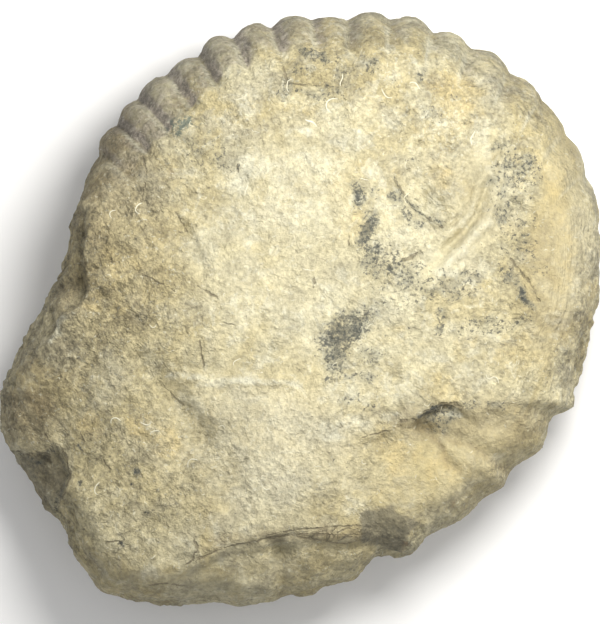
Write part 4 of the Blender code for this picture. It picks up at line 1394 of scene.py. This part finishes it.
def stoneHeight(tree, broken, amount):
    # flakes, broken stone and facets, by how rough the stone is, + grains - cracks + fine striae
    # along the rim, in millimetres
    look = stoneLook
    (_, steep, _), (_, chipSteep, _) = look["facets"]
    (_, _, largeHeight, _), (_, _, fineHeight, _) = look["ledges"]
    largeSteps = times(tree, broken["large"]["Height"], largeHeight)
    fineSteps = times(tree, broken["fine"]["Height"], fineHeight)
    facetRise = times(tree, broken["facet"]["Height"], steep)
    chipRise = times(tree, broken["chip"]["Height"], chipSteep)
    hackle = plus(tree, largeSteps, fineSteps)
    hackle = plus(tree, hackle, times(tree, broken["broken"], look["brokenHeight"]))
    hackle = plus(tree, hackle, plus(tree, facetRise, chipRise))
    ribGrain = between(tree, measured(tree, "bareRib"), 0.0, 1.0, 1.0, look["ribGrain"])
    height = times(tree, broken["grains"]["Height"], ribGrain)
    height = plus(tree, height, times(tree, hackle, amount))
    height = minus(tree, height, times(tree, broken["opened"], look["lineDepth"]))
    along = times(tree, measured(tree, "along"), 0.05)
    inputs = {"X": measured(tree, "fromRim"), "Y": along}
    rimVector = addNode(tree, "ShaderNodeCombineXYZ", inputs).outputs[0]
    striae = times(tree, pattern(tree, rimVector, "striae"), measured(tree, "striated"))
    return plus(tree, height, times(tree, striae, look["striaeDepth"]))


def newMaterial(name):
    material = bpy.data.materials.new(name)
    material.use_nodes = True
    tree = material.node_tree
    return material, tree, tree.nodes["Principled BSDF"].inputs


def bumped(tree, height):
    # relief in millimetres
    inputs = {"Height": height, "Distance": mm, "Strength": 1.0}
    return addNode(tree, "ShaderNodeBump", inputs).outputs["Normal"]


def stoneMaterial():
    material, tree, surface = newMaterial("limestone")
    place = inMillimetres(tree)
    fabric = leaning(tree, place, stoneLook["slant"], stoneLook["stretch"])
    amount = measured(tree, "amount")
    broken = brokenTextures(tree, place, fabric)
    colour = cleanColour(tree, place)
    colour = earthColour(tree, place, colour)
    colour = chalkColour(tree, place, fabric, amount, colour)
    colour = brokenColour(tree, broken, amount, colour)
    colour = stainColour(tree, place, broken, amount, colour)
    join(tree, colour, surface["Base Color"])
    roughness = between(tree, broken["grains"]["Tone"], 0.0, 1.0, *stoneLook["roughness"])
    join(tree, roughness, surface["Roughness"])
    join(tree, bumped(tree, stoneHeight(tree, broken, amount)), surface["Normal"])
    return material


shellLook = {
    "white": (0.66, 0.635, 0.49, 1.0),
    "worn": (0.54, 0.51, 0.38, 1.0),
    "roughness": (0.45, 0.75),
    "grain": 1.2,
    "grainHeight": 0.15,
    "wornClouds": {"Size": 9.0, "Edge": 0.56, "Softness": 0.1},
    "dust": {"Size": 1.4, "Cover": 0.3},
    "dustShare": 0.4,
}


def shellMaterial():
    look = shellLook
    material, tree, surface = newMaterial("shellCalcite")
    place = inMillimetres(tree)
    grains = useGroup(tree, grain, Vector=place, Size=look["grain"])
    worn = useGroup(tree, clouds, Vector=place, **look["wornClouds"])["Mask"]
    dusty = useGroup(tree, specks, Vector=place, **look["dust"])["Mask"]
    colour = tint(tree, worn, look["white"], look["worn"])
    colour = tint(tree, times(tree, dusty, look["dustShare"]), colour, look["worn"])
    join(tree, colour, surface["Base Color"])
    roughness = between(tree, grains["Tone"], 0.3, 0.7, *look["roughness"])
    join(tree, roughness, surface["Roughness"])
    join(tree, bumped(tree, times(tree, grains["Height"], look["grainHeight"])), surface["Normal"])
    return material


stone.data.materials.append(stoneMaterial())
shellBits.data.materials.append(shellMaterial())
print("materials:", len(bpy.data.materials))

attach(stone, "root")
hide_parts("ammonite")
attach(shellBits, "root")

# stage

stage = {
    "floorTone": (0.92, 0.92, 0.92, 1.0),
    "floorSize": 12.0,
    "elevation": 86.0,
    "distance": 1.8,
    "frameWidth": 0.342,  # metres across the view at the height of the rim
    "aim": (0.0, 0.0, 0.054),
    "imageSize": (600, 624),
    "aimPixel": (300.0, 308.0),
    "lights": {  # place, size, watts, colour
        "key": ((0.14, 0.15, 0.56), 0.28, 4.4, (1.0, 0.98, 0.94)),
        "side": ((0.62, 0.04, 0.24), 0.3, 0.6, (1.0, 0.98, 0.94)),
    },
    "worldStrength": 0.55,
}


def addCamera():
    lean = math.radians(stage["elevation"])
    back = Vector((0.0, -math.cos(lean), math.sin(lean)))
    data = bpy.data.cameras.new("camera")
    data.sensor_fit = "HORIZONTAL"
    data.lens = data.sensor_width * stage["distance"] / stage["frameWidth"]
    data.shift_y = (stage["aimPixel"][1] - stage["imageSize"][1] / 2.0) / stage["imageSize"][0]
    data.clip_end = 50.0
    camera = bpy.data.objects.new("camera", data)
    camera.location = Vector(stage["aim"]) + back * stage["distance"]
    camera.rotation_euler = back.to_track_quat("Z", "Y").to_euler()
    bpy.context.scene.collection.objects.link(camera)
    bpy.context.scene.camera = camera


def addFloor():
    half = stage["floorSize"] / 2.0
    mesh = bpy.data.meshes.new("floor")
    corners = [(-half, -half, 0.0), (half, -half, 0.0), (half, half, 0.0), (-half, half, 0.0)]
    mesh.from_pydata(corners, [], [(0, 1, 2, 3)])
    paper = bpy.data.materials.new("paleFloor")
    paper.use_nodes = True
    paper.node_tree.nodes["Principled BSDF"].inputs["Base Color"].default_value = stage["floorTone"]
    paper.node_tree.nodes["Principled BSDF"].inputs["Roughness"].default_value = 0.9
    mesh.materials.append(paper)
    floor = bpy.data.objects.new("floor", mesh)
    bpy.context.scene.collection.objects.link(floor)


def addLights():
    for name, (place, size, watts, tone) in stage["lights"].items():
        data = bpy.data.lights.new(name, "AREA")
        data.shape = "DISK"
        data.size = size
        data.energy = watts
        data.color = tone
        light = bpy.data.objects.new(name, data)
        light.location = place
        light.rotation_euler = (Vector(place) - Vector(stage["aim"])).to_track_quat("Z", "Y").to_euler()
        light.visible_camera = False
        bpy.context.scene.collection.objects.link(light)
    world = bpy.data.worlds.new("studio")
    world.use_nodes = True
    world.node_tree.nodes["Background"].inputs["Color"].default_value = (1.0, 1.0, 1.0, 1.0)
    world.node_tree.nodes["Background"].inputs["Strength"].default_value = stage["worldStrength"]
    bpy.context.scene.world = world


addCamera()
addFloor()
addLights()
bpy.context.scene.view_settings.view_transform = "Standard"
